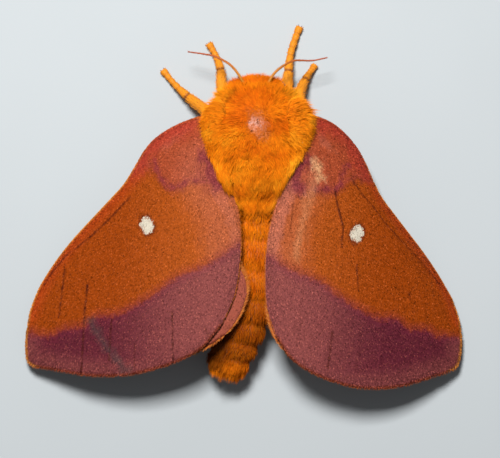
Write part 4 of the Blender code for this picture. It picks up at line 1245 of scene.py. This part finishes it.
def wing_marks(side, kind, shares, inset=0.0):
    """What the wing's material reads at each share: place, lines and spot, tints, and wear.

    place holds the share to the apex and the distances from the outer margin and the costa. lines holds
    the distances from the outer band and the basal field, and the spot, drawn in by inset. Distances
    are in mm.
    """
    s = SIDES[side]
    at = plan(side, shares)
    fine = np.linspace(0, 1, 120)
    costa = distance_to(at, plan(side, smooth_line(EDGES[kind]["costa"], fine))) / MM
    reach = 0.75 * np.linalg.norm(s["tornus"] - s["root"]) / MM
    band = smooth_line(BAND_LINE[kind], fine)
    outer = reach * (shares[..., 1] - np.interp(shares[..., 0], band[:, 0], band[:, 1]))
    rim = smooth_line(EDGES[kind]["outer"], fine)
    rim[:, 1] += s["outer_bulge"] * np.sin(math.pi * fine)
    margin = distance_to(at, plan(side, rim)) / MM
    basal = np.full(outer.shape, -9.0)
    spot = np.zeros(outer.shape)
    tints, wear = np.zeros((2, *outer.shape, 3))
    flat = np.concatenate([at, 0 * at[..., :1]], -1)
    if kind == "fore":
        inner = smooth_line(s["inner_line"], fine)
        basal = reach * (np.interp(shares[..., 0], inner[:, 0], inner[:, 1]) - shares[..., 1])
        d = at - plan(side, s["spot"])
        c, turn = math.cos(SPOT_TURN), math.sin(SPOT_TURN) * (1 if side == "left" else -1)
        d = np.stack([d[..., 0] * c + d[..., 1] * turn, d[..., 1] * c - d[..., 0] * turn], -1) / SPOT_HALF
        edge = np.hypot(d[..., 0], d[..., 1])
        edge = edge + 0.09 * ripple(flat, 0.8 * MM, 11) + 0.03 * ripple(flat, 0.3 * MM, 12)
        spot = smoothstep((1.02 - inset - edge) / 0.1)
        ragged = 0.5 + 0.5 * smoothstep(0.7 + ripple(flat, 0.5 * MM, 13))
        blurred = 0.2 * ripple(flat, 1.3 * MM, 14) + 0.16 * ripple(flat, 0.45 * MM, 15)
        for k, key in enumerate(("purple", "red", "pink", "dark", "grey", "cream")):
            target = (tints if k < 3 else wear)[..., k % 3]
            for half, soft, strength, line in s["marks"][key]:
                near = distance_to(at, plan(side, line)) / MM + (0 if key == "dark" else blurred)
                value = strength * ragged ** (k == 3) * smoothstep((half - near) / soft)
                np.maximum(target, value, out=target)
        rim = 0.5 * smoothstep((1.28 - edge) / 0.12) * (1 - spot)
        wear[..., 0] = np.maximum(wear[..., 0], rim)
    place = np.stack([shares[..., 0], margin, costa], -1)
    return {"place": place, "lines": np.stack([outer, basal, spot], -1), "tints": tints, "wear": wear}


def wing_bake(shares):
    """Where shares of a wing lie on its unwrapped surface, with a margin all round."""
    return 0.01 + 0.98 * (shares + (0.2, 0.32)) / (1.25, 1.42)


def wing_grid(name, s):
    """A wing's fine grid: shares, places of its upper surface, normals, and the way from root to margin."""
    side, kind = WINGS[name]
    rows, columns = (np.linspace(0, 1, n) for n in WING_GRID[kind])
    shares = wing_shares(side, kind, rows, columns)
    middle = wing_places(side, kind, shares)
    along, across = np.gradient(middle, axis=0), np.gradient(middle, axis=1)
    normals = unit(np.cross(along, across))
    if normals[..., 2].mean() < 0:
        normals = -normals
    at = plan(side, shares)
    ridge = np.zeros(at.shape[:-1])
    for vein in VEINS[kind]:
        near = distance_to(at, plan(side, smooth_line(vein, np.linspace(0, 1, 24))))
        ridge = np.maximum(ridge, np.exp(-(near / s.vein_width) ** 2))
    return shares, middle, normals, unit(along), s.vein_height * ridge


def make_membrane(name, s):
    """One closed thin sheet: a grid for the upper face, one for the lower, and a strip round the rim."""
    side, kind = WINGS[name]
    shares, middle, normals, _, ridge = wing_grid(name, s)
    rows, columns = shares.shape[:2]
    i, j = np.meshgrid(np.arange(rows), np.arange(columns), indexing="ij")
    inset = np.minimum(np.minimum(j, columns - 1 - j) / 6, (rows - 1 - i) / 3)
    thin = 0.25 + 0.75 * smoothstep(inset)
    upper = middle + normals * (SURFACE + ridge - 0.5 * s.thickness * (1 - thin))[..., None]
    lower = middle + normals * (SURFACE - s.thickness * (0.5 + 0.5 * thin) - 0.6 * ridge)[..., None]
    bm = bmesh.new()
    bmesh.ops.create_grid(bm, x_segments=columns - 1, y_segments=rows - 1, size=0.5)
    top = list(bm.verts)
    rim = [e.link_loops[0] for e in bm.edges if e.is_boundary]
    rim = [(loop.vert.index, loop.link_loop_next.vert.index) for loop in rim]
    bmesh.ops.duplicate(bm, geom=bm.verts[:] + bm.edges[:] + bm.faces[:])
    bm.verts.ensure_lookup_table()
    bm.faces.ensure_lookup_table()
    count = len(top)
    bmesh.ops.reverse_faces(bm, faces=bm.faces[len(bm.faces) // 2:])
    for v, p in zip(bm.verts, np.concatenate([upper.reshape(-1, 3), lower.reshape(-1, 3)])):
        v.co = p
    for a, b in rim:
        bm.faces.new([bm.verts[b], bm.verts[a], bm.verts[a + count], bm.verts[b + count]])
    if bm.calc_volume(signed=True) < 0:
        bmesh.ops.reverse_faces(bm, faces=bm.faces)
    mesh = mesh_from(name + "_membrane", bm)
    for key, values in wing_marks(side, kind, shares, inset=0.14).items():
        flat = values.reshape(-1, 3)
        set_attribute(mesh, key, np.concatenate([flat, flat]))
    set_attribute(mesh, "shade", np.full(2 * count, 0.45))
    return mesh


def between(values, cell, part):
    """Values of a grid between its points: cell gives the grid square and part the place in it."""
    i, j = cell
    u, v = (p[:, None] for p in part)
    low = values[i, j] * (1 - v) + values[i, j + 1] * v
    return low * (1 - u) + (values[i + 1, j] * (1 - v) + values[i + 1, j + 1] * v) * u


def make_scales(name, s, count, above, rng):
    """Overlapping kite-shaped scales that lie towards the outer margin, each a low closed solid."""
    side, kind = WINGS[name]
    shares, middle, normals, along, ridge = wing_grid(name, s)
    rows, columns = shares.shape[:2]
    corner = middle[:-1, :-1]
    area = np.linalg.norm(np.cross(middle[1:, :-1] - corner, middle[:-1, 1:] - corner), axis=-1)
    flat = systematic(area.ravel(), count, rng)
    cell = np.divmod(flat, columns - 1)
    part = rng.random((2, count))
    part[1] = np.where(cell[1] == 0, 1.0, part[1])
    sign = 1.0 if above else -1.0
    level = SURFACE + (0.0 if above else -s.thickness)
    surface = middle + normals * (level + (ridge if above else -0.6 * ridge))[..., None]
    roots, outs = between(surface, cell, part), sign * unit(between(normals, cell, part))
    way = unit(between(along, cell, part))
    way = unit(way + rng.normal(0, 0.13, way.shape))
    way = unit(way - (way * outs).sum(1, keepdims=True) * outs)
    across = np.cross(outs, way)
    size = rng.uniform(0.8, 1.15, (count, 1))
    length, width = s.scale_length * size, s.scale_width * size * rng.uniform(0.85, 1.15, (count, 1))
    lift = rng.uniform(0.015, 0.035, (count, 1)) * MM
    points = np.stack([
        roots - outs * 0.012 * MM - way * 0.35 * length,
        roots + way * 0.1 * length + across * 0.5 * width + outs * 0.5 * lift,
        roots + way * 0.65 * length + outs * lift,
        roots + way * 0.1 * length - across * 0.5 * width + outs * 0.5 * lift,
        roots - outs * 0.03 * MM,
    ], 1)
    pattern = [(0, 3, 2), (0, 2, 1), (0, 1, 4), (1, 2, 4), (2, 3, 4), (3, 0, 4)]
    places = between(shares, cell, part)
    marks = wing_marks(side, kind, places)
    patch = [(0.5, 0.0), (1.0, 0.5), (0.5, 1.0), (0.0, 0.5), (0.5, 0.5)]
    shade = np.clip(rng.normal(0.45, 0.26, count), 0, 1)
    tilted = outs + rng.normal(0, 0.24, outs.shape)
    normals = np.repeat(tilted[:, None], 5, axis=1)
    normals[:, 4] = -outs
    marks["shade"] = shade
    return joined(name + "_scales", points, pattern, wing_bake(places), patch, marks, normals)


def make_fringe(name, s, rng):
    """Narrow flat hair scales that stand out along the margins, longest on the outer and the inner one."""
    side, kind = WINGS[name]
    shares, middle, normals, _, _ = wing_grid(name, s)
    strips = [
        (middle[-1], middle[-1] - middle[-4], normals[-1], shares[-1], 0.8, 2.1, (0.0, 0.35)),
        (middle[:, -1], middle[:, -1] - middle[:, -6], normals[:, -1], shares[:, -1], 0.75, 2.1, (0.34, 0.6)),
        (middle[:, 0], middle[:, 0] - middle[:, 6], normals[:, 0], shares[:, 0], 0.4, 1.8, (0.56, 0.9)),
    ]
    if kind == "hind":
        strips = [(*strip[:4], 1.9 * strip[4], 1.8 * strip[5], (0.4, 0.66)) for strip in strips]
    roots, outs, lies, places, sizes, shades = [], [], [], [], [], []
    for line, away, normal, share, size, layers, span in strips:
        run = np.concatenate([[0], np.cumsum(np.linalg.norm(np.diff(line, axis=0), axis=1))])
        count = int(layers * run[-1] / FRINGE_WIDTH)
        at = np.sort(rng.random(count)) * run[-1]
        row = [np.stack([np.interp(at, run, values[:, k]) for k in range(values.shape[1])], 1)
               for values in (line, unit(away), normal, share)]
        level = SURFACE - s.thickness * rng.uniform(0.35, 0.65, (count, 1))
        roots.append(row[0] + row[2] * level - row[1] * 0.06 * MM)
        lies.append(unit(row[1]) + rng.normal(0, 0.16, (count, 3)))
        outs.append(unit(row[2]))
        places.append(row[3])
        sizes.append(size * rng.uniform(0.6, 1.1, count))
        if span[0] > 0.55:
            base = 0.5 * ramp(row[3][:, 0], 0.45, 0.2)
        else:
            base = -0.36 * ramp(row[3][:, 0], 0.91, 0.98)
        shades.append(rng.uniform(*span, count) - base)
    roots, outs, lies, places = (np.concatenate(v) for v in (roots, outs, lies, places))
    length = s.fringe * np.concatenate(sizes)
    size = length, 0.02 * length, np.full(len(roots), FRINGE_WIDTH)
    return tuft_mesh(name + "_fringe", roots, outs, lies, size, wing_bake(places),
                     {"shade": np.concatenate(shades)}, rng, bend=50 * MM)


# Legs, antennae and eyes

def tube(name, line, radii, sides=4):
    """A closed round tube on a line, as a mesh: a curve with a bevel whose radius changes along it."""
    curve = bpy.data.curves.new(name, "CURVE")
    curve.dimensions = "3D"
    curve.bevel_depth = 1.0
    curve.bevel_resolution = sides
    curve.use_fill_caps = True
    spline = curve.splines.new("POLY")
    spline.points.add(len(line) - 1)
    spline.points.foreach_set("co", np.column_stack([line, np.ones(len(line))]).ravel())
    spline.points.foreach_set("radius", radii)
    obj = linked(name, curve)
    mesh = evaluated_mesh(obj)
    bpy.data.objects.remove(obj)
    bm = bmesh.new()
    bm.from_mesh(mesh)
    bmesh.ops.remove_doubles(bm, verts=bm.verts, dist=0.0005 * MM)
    for v in bm.verts:
        v.co.z = max(0.0, v.co.z)
    bmesh.ops.recalc_face_normals(bm, faces=bm.faces)
    bm.to_mesh(mesh)
    bm.free()
    return mesh


def leg_line(name):
    """A leg's fine line, radii, place along it, distances from its joints and the foot's, and its joints."""
    route = np.array(LEGS[name]) * MM
    at = np.linspace(0, 1, LEG_POINTS)
    fine = smooth_line(route, at)
    joints = [at[np.linalg.norm(fine[:, :3] - route[k, :3], axis=1).argmin()] for k in LEG_JOINTS[name]]
    toes = joints[-1] + (1 - joints[-1]) * np.array((0.36, 0.54, 0.7, 0.85))
    length = np.linalg.norm(np.diff(fine[:, :3], axis=0), axis=1).sum()
    near = np.min([np.abs(at - j) for j in joints], axis=0) * length / MM
    near_toe = np.min([np.abs(at - j) for j in toes], axis=0) * length / MM
    swell = 1 - 0.2 * np.exp(-(near / 0.16) ** 2) - 0.16 * np.exp(-(near_toe / 0.12) ** 2)
    foot = smoothstep((at - joints[-1]) / 0.12)
    swell *= 1 - 0.14 * foot + 0.22 * smoothstep((at - 0.9) / 0.08)
    return fine[:, :3], fine[:, 3] * swell, at, near, near_toe, joints


def make_leg(name):
    """A leg with its joints drawn in, and what its material reads: place, dark rings and lightness."""
    line, radii, at, near, near_toe, joints = leg_line(name)
    mesh = tube(name, line, radii)
    index = nearest(points_of(mesh), line)
    ring = 0.95 * np.exp(-(near / 0.14) ** 2) * (at > joints[0] + 0.05)
    ring += 0.35 * np.exp(-(near_toe / 0.06) ** 2)
    light = np.where(at < joints[0], 0.95, 1.0)
    set_attribute(mesh, "limb", np.stack([0.25 * at, ring, light], 1)[index])
    return mesh


def make_leg_coat(name, mesh, s, rng):
    """Short tufts along a leg, shorter still on the foot, with a few dark spines."""
    line, _, at, near, _, joints = leg_line(name)
    centres, normals, areas = faces_of(mesh)
    keep = np.flatnonzero(centres[:, 2] > 0.05 * MM)
    index = keep[systematic(areas[keep], s.leg_tufts, rng)]
    roots = centres[index] + rng.uniform(-0.05, 0.05, (len(index), 3)) * MM
    outs = normals[index]
    close = nearest(roots, line)
    along = unit(np.gradient(line, axis=0))[close]
    lies = tilt(along, 0.16, rng)
    foot = smoothstep((at[close] - joints[-1]) / 0.08)
    dark = (rng.random(len(index)) < 0.03 + 0.05 * foot).astype(float)
    length = s.leg_hair * (1 - 0.5 * foot) * rng.uniform(0.7, 1.15, len(index)) * (1 - 0.2 * dark)
    length *= 0.4 + 0.6 * smoothstep((near[close] - 0.12) / 0.35)
    rise = length * rng.uniform(0.1, 0.3, len(index)) + 0.05 * MM * dark
    width = 0.085 * MM * (1 - 0.4 * dark)
    bake = np.stack([0.02 + 0.96 * at[close],
                     0.02 + 0.96 * ((np.arctan2(normals[index, 2], normals[index, 0]) / math.tau) % 1.0)], 1)
    ring = np.maximum(0.9 * dark, 0.95 * np.exp(-(near[close] / 0.16) ** 2) * (at[close] > joints[0] + 0.05))
    light = rng.uniform(0.78, 1.12, len(index))
    return tuft_mesh(name + "_coat", roots, outs, lies, (length, rise, width), bake,
                     {"limb": np.stack([0.25 * at[close], ring, light], 1)}, rng, bend=20 * MM)


def make_claws(rng):
    """Two hooked claws on each foot, and a pair of spurs at the end of each mid and hind shin."""
    roots, outs, lies, sizes = [], [], [], []
    for name in LEGS:
        line, radii, at, _, _, joints = leg_line(name)
        along = unit(np.gradient(line, axis=0))
        flat = unit(along[-1] * (1, 1, 0))
        across = np.array((-flat[1], flat[0], 0.0))
        for sign in (-1, 1):
            roots.append(line[-1] + sign * across * 0.14 * MM + (0, 0, 0.05 * MM))
            lies.append(flat + 0.25 * sign * across - (0, 0, 0.12))
            outs.append(np.array((0.0, 0.0, 1.0)))
            sizes.append((0.24 * MM, 0.1 * MM, 0.09 * MM))
            if "fore" not in name:
                k = int(np.abs(at - joints[-1]).argmin())
                beside = unit(np.cross(along[k], (0, 0, 1.0)))
                roots.append(line[k] + (sign * beside - (0, 0, 0.6)) * radii[k] * 0.75)
                lies.append(along[k] + 0.2 * sign * beside)
                outs.append(unit(sign * beside - np.array((0, 0, 0.5))))
                sizes.append((0.6 * MM, 0.16 * MM, 0.12 * MM))
    roots, outs, lies = np.array(roots), np.array(outs), np.array(lies)
    bake = np.stack([np.linspace(0.1, 0.9, len(roots)), np.full(len(roots), 0.5)], 1)
    return tuft_mesh("claws", roots, outs, lies, np.array(sizes).T, bake, {}, rng, rings=3, bend=0.7 * MM)


def antenna_line(name):
    """Places along an antenna, from 0 at its base to 1 at its tip, and its fine line."""
    at = np.linspace(0, 1, ANTENNA_POINTS)
    return at, smooth_line(np.array(ANTENNAE[name]) * MM, at)


def make_antenna(name, s):
    """A thread of many short joints that tapers to a fine tip, thicker in its first two."""
    at, line = antenna_line(name)
    joint = np.abs(np.cos(math.pi * ANTENNA_JOINTS * at))
    taper = s.antenna_radius * (1 - 0.62 * at ** 1.3)
    mesh = tube(name, line, taper * (1 - 0.14 * joint ** 6) * (1 + 0.7 * np.exp(-(at / 0.035) ** 2)), sides=3)
    limb = np.stack([smoothstep(at / 0.8), 0.35 * joint ** 8, np.ones(len(at))], 1)
    set_attribute(mesh, "limb", limb[nearest(points_of(mesh), line)])
    return mesh


def make_antenna_hair(name, mesh, rng):
    """Very short hair on the joints of an antenna."""
    _, line = antenna_line(name)
    centres, normals, areas = faces_of(mesh)
    index = systematic(areas, ANTENNA_HAIRS, rng)
    close = nearest(centres[index], line)
    along = unit(np.gradient(line, axis=0))[close]
    length = rng.uniform(0.07, 0.14, len(index)) * MM
    at = close / (ANTENNA_POINTS - 1)
    bake = np.stack([0.02 + 0.96 * at, 0.02 + 0.96 * rng.random(len(index))], 1)
    limb = np.stack([smoothstep(at / 0.8), 0 * at, rng.uniform(0.8, 1.1, len(index))], 1)
    return tuft_mesh(name + "_hair", centres[index], normals[index], tilt(along, 0.2, rng),
                     (length, 0.45 * length, np.full(len(index), 0.03 * MM)), bake, {"limb": limb}, rng)


def make_eye(sign):
    """The globe of the left eye for -1 and of the right one for 1."""
    bm = bmesh.new()
    bmesh.ops.create_icosphere(bm, subdivisions=5, radius=EYE_RADIUS)
    bmesh.ops.translate(bm, vec=Vector(eye_centre(sign)), verts=bm.verts)
    return mesh_from("eye", bm)


# Operators

class MOTH_OT_body(bpy.types.Operator):
    """Makes the skin of head, thorax and abdomen, and the coat on it"""
    bl_idname = "moth.body"
    bl_label = "Body and coat"

    def execute(self, context):
        s = context.scene.moth_body
        hair, cuticle = hair_material(s), skin_material(s)
        skin = make_skin(s)
        piece_from("skin", skin, cuticle,
                   ("head", "thorax", "abdomen_base", "abdomen_middle", "abdomen_end"))
        maps = wing_heights()
        rngs = [np.random.default_rng(COAT_SEED + k) for k in range(7)]
        coats = {
            "thorax_coat_left": make_thorax_coat(skin, s, -1, maps, rngs[0]),
            "thorax_coat_right": make_thorax_coat(skin, s, 1, maps, rngs[1]),
            "thorax_coat_lower": make_thorax_coat(skin, s, 0, maps, rngs[2]),
            "thorax_coat_wedge": make_wedge_coat(skin, s, maps, rngs[6]),
            "head_coat": make_head_coat(skin, s, rngs[3]),
            "abdomen_coat": make_abdomen_coat(skin, s, maps, rngs[4]),
            "abdomen_brush": make_brush(skin, s, rngs[5]),
        }
        for name, mesh in coats.items():
            piece_from(name, mesh, hair)
        return {"FINISHED"}


class MOTH_OT_wings(bpy.types.Operator):
    """Makes the four wings with their veins, scales and fringes"""
    bl_idname = "moth.wings"
    bl_label = "Wings"

    def execute(self, context):
        s = context.scene.moth_wings
        finish = {kind: wing_material(kind + "wing_scales", s, kind == "hind") for kind in ("fore", "hind")}
        fringe = fringe_material(s)
        for index, (name, (_, kind)) in enumerate(WINGS.items()):
            piece_from(name + "_membrane", make_membrane(name, s), finish[kind], (name,))
            rng = np.random.default_rng(WING_SEED + index)
            for face in ("upper", "lower"):
                count = getattr(s, face + "_scales") if kind == "fore" else s.hind_scales
                scales = make_scales(name, s, count, face == "upper", rng)
                piece_from(f"{name}_scales_{face}", scales, finish[kind])
            piece_from(name + "_fringe", make_fringe(name, s, rng), fringe)
        return {"FINISHED"}


class MOTH_OT_legs(bpy.types.Operator):
    """Makes the six legs with their joints, short coat, claws and spurs"""
    bl_idname = "moth.legs"
    bl_label = "Legs"

    def execute(self, context):
        s = context.scene.moth_limbs
        finish = limb_material("leg_scales", s.leg, linear("#DC7A14"), s.ring, 0.6)
        for index, name in enumerate(LEGS):
            mesh = make_leg(name)
            piece_from(name + "_cuticle", mesh, finish, (name,))
            coat = make_leg_coat(name, mesh, s, np.random.default_rng(LEG_SEED + index))
            piece_from(name + "_coat", coat, finish)
        piece_from("claws", make_claws(np.random.default_rng(CLAW_SEED)), claw_material(s))
        return {"FINISHED"}


class MOTH_OT_antennae(bpy.types.Operator):
    """Makes the two thread-like antennae"""
    bl_idname = "moth.antennae"
    bl_label = "Antennae"

    def execute(self, context):
        s = context.scene.moth_limbs
        finish = limb_material("antenna_cuticle", s.antenna, s.antenna_tip, s.ring, 0.45)
        for index, name in enumerate(ANTENNAE):
            mesh = make_antenna(name, s)
            piece_from(name + "_thread", mesh, finish, (name,))
            hair = make_antenna_hair(name, mesh, np.random.default_rng(ANTENNA_SEED + index))
            piece_from(name + "_hair", hair, finish)
        return {"FINISHED"}


class MOTH_OT_eyes(bpy.types.Operator):
    """Makes the two compound eyes"""
    bl_idname = "moth.eyes"
    bl_label = "Eyes"

    def execute(self, context):
        finish = eye_material(context.scene.moth_limbs)
        for name, sign in (("eye_left", -1), ("eye_right", 1)):
            piece_from(name + "_globe", make_eye(sign), finish, (name,))
        return {"FINISHED"}


class MOTH_OT_stage(bpy.types.Operator):
    """Makes the floor, the lights and the camera over the moth"""
    bl_idname = "moth.stage"
    bl_label = "Stage"

    def execute(self, context):
        s = context.scene.moth_stage
        bm = bmesh.new()
        bmesh.ops.create_grid(bm, x_segments=1, y_segments=1, size=FLOOR_REACH)
        floor = linked("floor", mesh_from("floor", bm))
        floor.data.materials.append(floor_material(s))
        light = bpy.data.lights.new("key_light", "AREA")
        light.size = LIGHT_SIZE
        light.energy = s.key_power
        lamp = linked("key_light", light)
        lamp.location = LIGHT_PLACE
        lamp.rotation_euler = (Vector(LIGHT_AIM) - Vector(LIGHT_PLACE)).to_track_quat("-Z", "Y").to_euler()
        world = bpy.data.worlds.new("studio")
        world.use_nodes = True
        background = world.node_tree.nodes["Background"]
        background.inputs["Color"].default_value = linear("#F2F5F8")
        background.inputs["Strength"].default_value = s.fill_strength
        context.scene.world = world
        context.scene.view_settings.view_transform = "Standard"
        data = bpy.data.cameras.new("camera")
        data.sensor_width = SENSOR_WIDTH
        data.lens = SENSOR_WIDTH * CAMERA_PLACE[2] / (FRAME_SIZE[0] * PIXEL)
        data.clip_start = CLIP_START
        camera = linked("camera", data)
        camera.location = CAMERA_PLACE
        context.scene.camera = camera
        return {"FINISHED"}


class VIEW3D_PT_moth(bpy.types.Panel):
    """Settings and steps of the oakworm moth"""
    bl_label = "Oakworm Moth"
    bl_space_type = "VIEW_3D"
    bl_region_type = "UI"
    bl_category = "Moth"

    def draw(self, context):
        for operator, group in STEPS:
            box = self.layout.box()
            box.operator(operator.bl_idname)
            if group:
                settings = getattr(context.scene, group)
                for key in type(settings).__annotations__:
                    box.prop(settings, key)


STEPS = [(MOTH_OT_body, "moth_body"), (MOTH_OT_wings, "moth_wings"), (MOTH_OT_legs, "moth_limbs"),
         (MOTH_OT_antennae, None), (MOTH_OT_eyes, None), (MOTH_OT_stage, "moth_stage")]
GROUPS = {"moth_body": MothBodySettings, "moth_wings": MothWingSettings, "moth_limbs": MothLimbSettings,
          "moth_stage": MothStageSettings}


def register():
    for cls in (*GROUPS.values(), *(operator for operator, _ in STEPS), VIEW3D_PT_moth):
        bpy.utils.register_class(cls)
    for name, cls in GROUPS.items():
        setattr(bpy.types.Scene, name, PointerProperty(type=cls))


def unregister():
    for name in GROUPS:
        delattr(bpy.types.Scene, name)
    for cls in (VIEW3D_PT_moth, *(operator for operator, _ in STEPS), *GROUPS.values()):
        bpy.utils.unregister_class(cls)


def main():
    register()
    bpy.ops.moth.body()
    bpy.ops.moth.wings()
    bpy.ops.moth.legs()
    bpy.ops.moth.antennae()
    bpy.ops.moth.eyes()
    bpy.ops.moth.stage()


if __name__ == "__main__":
    main()
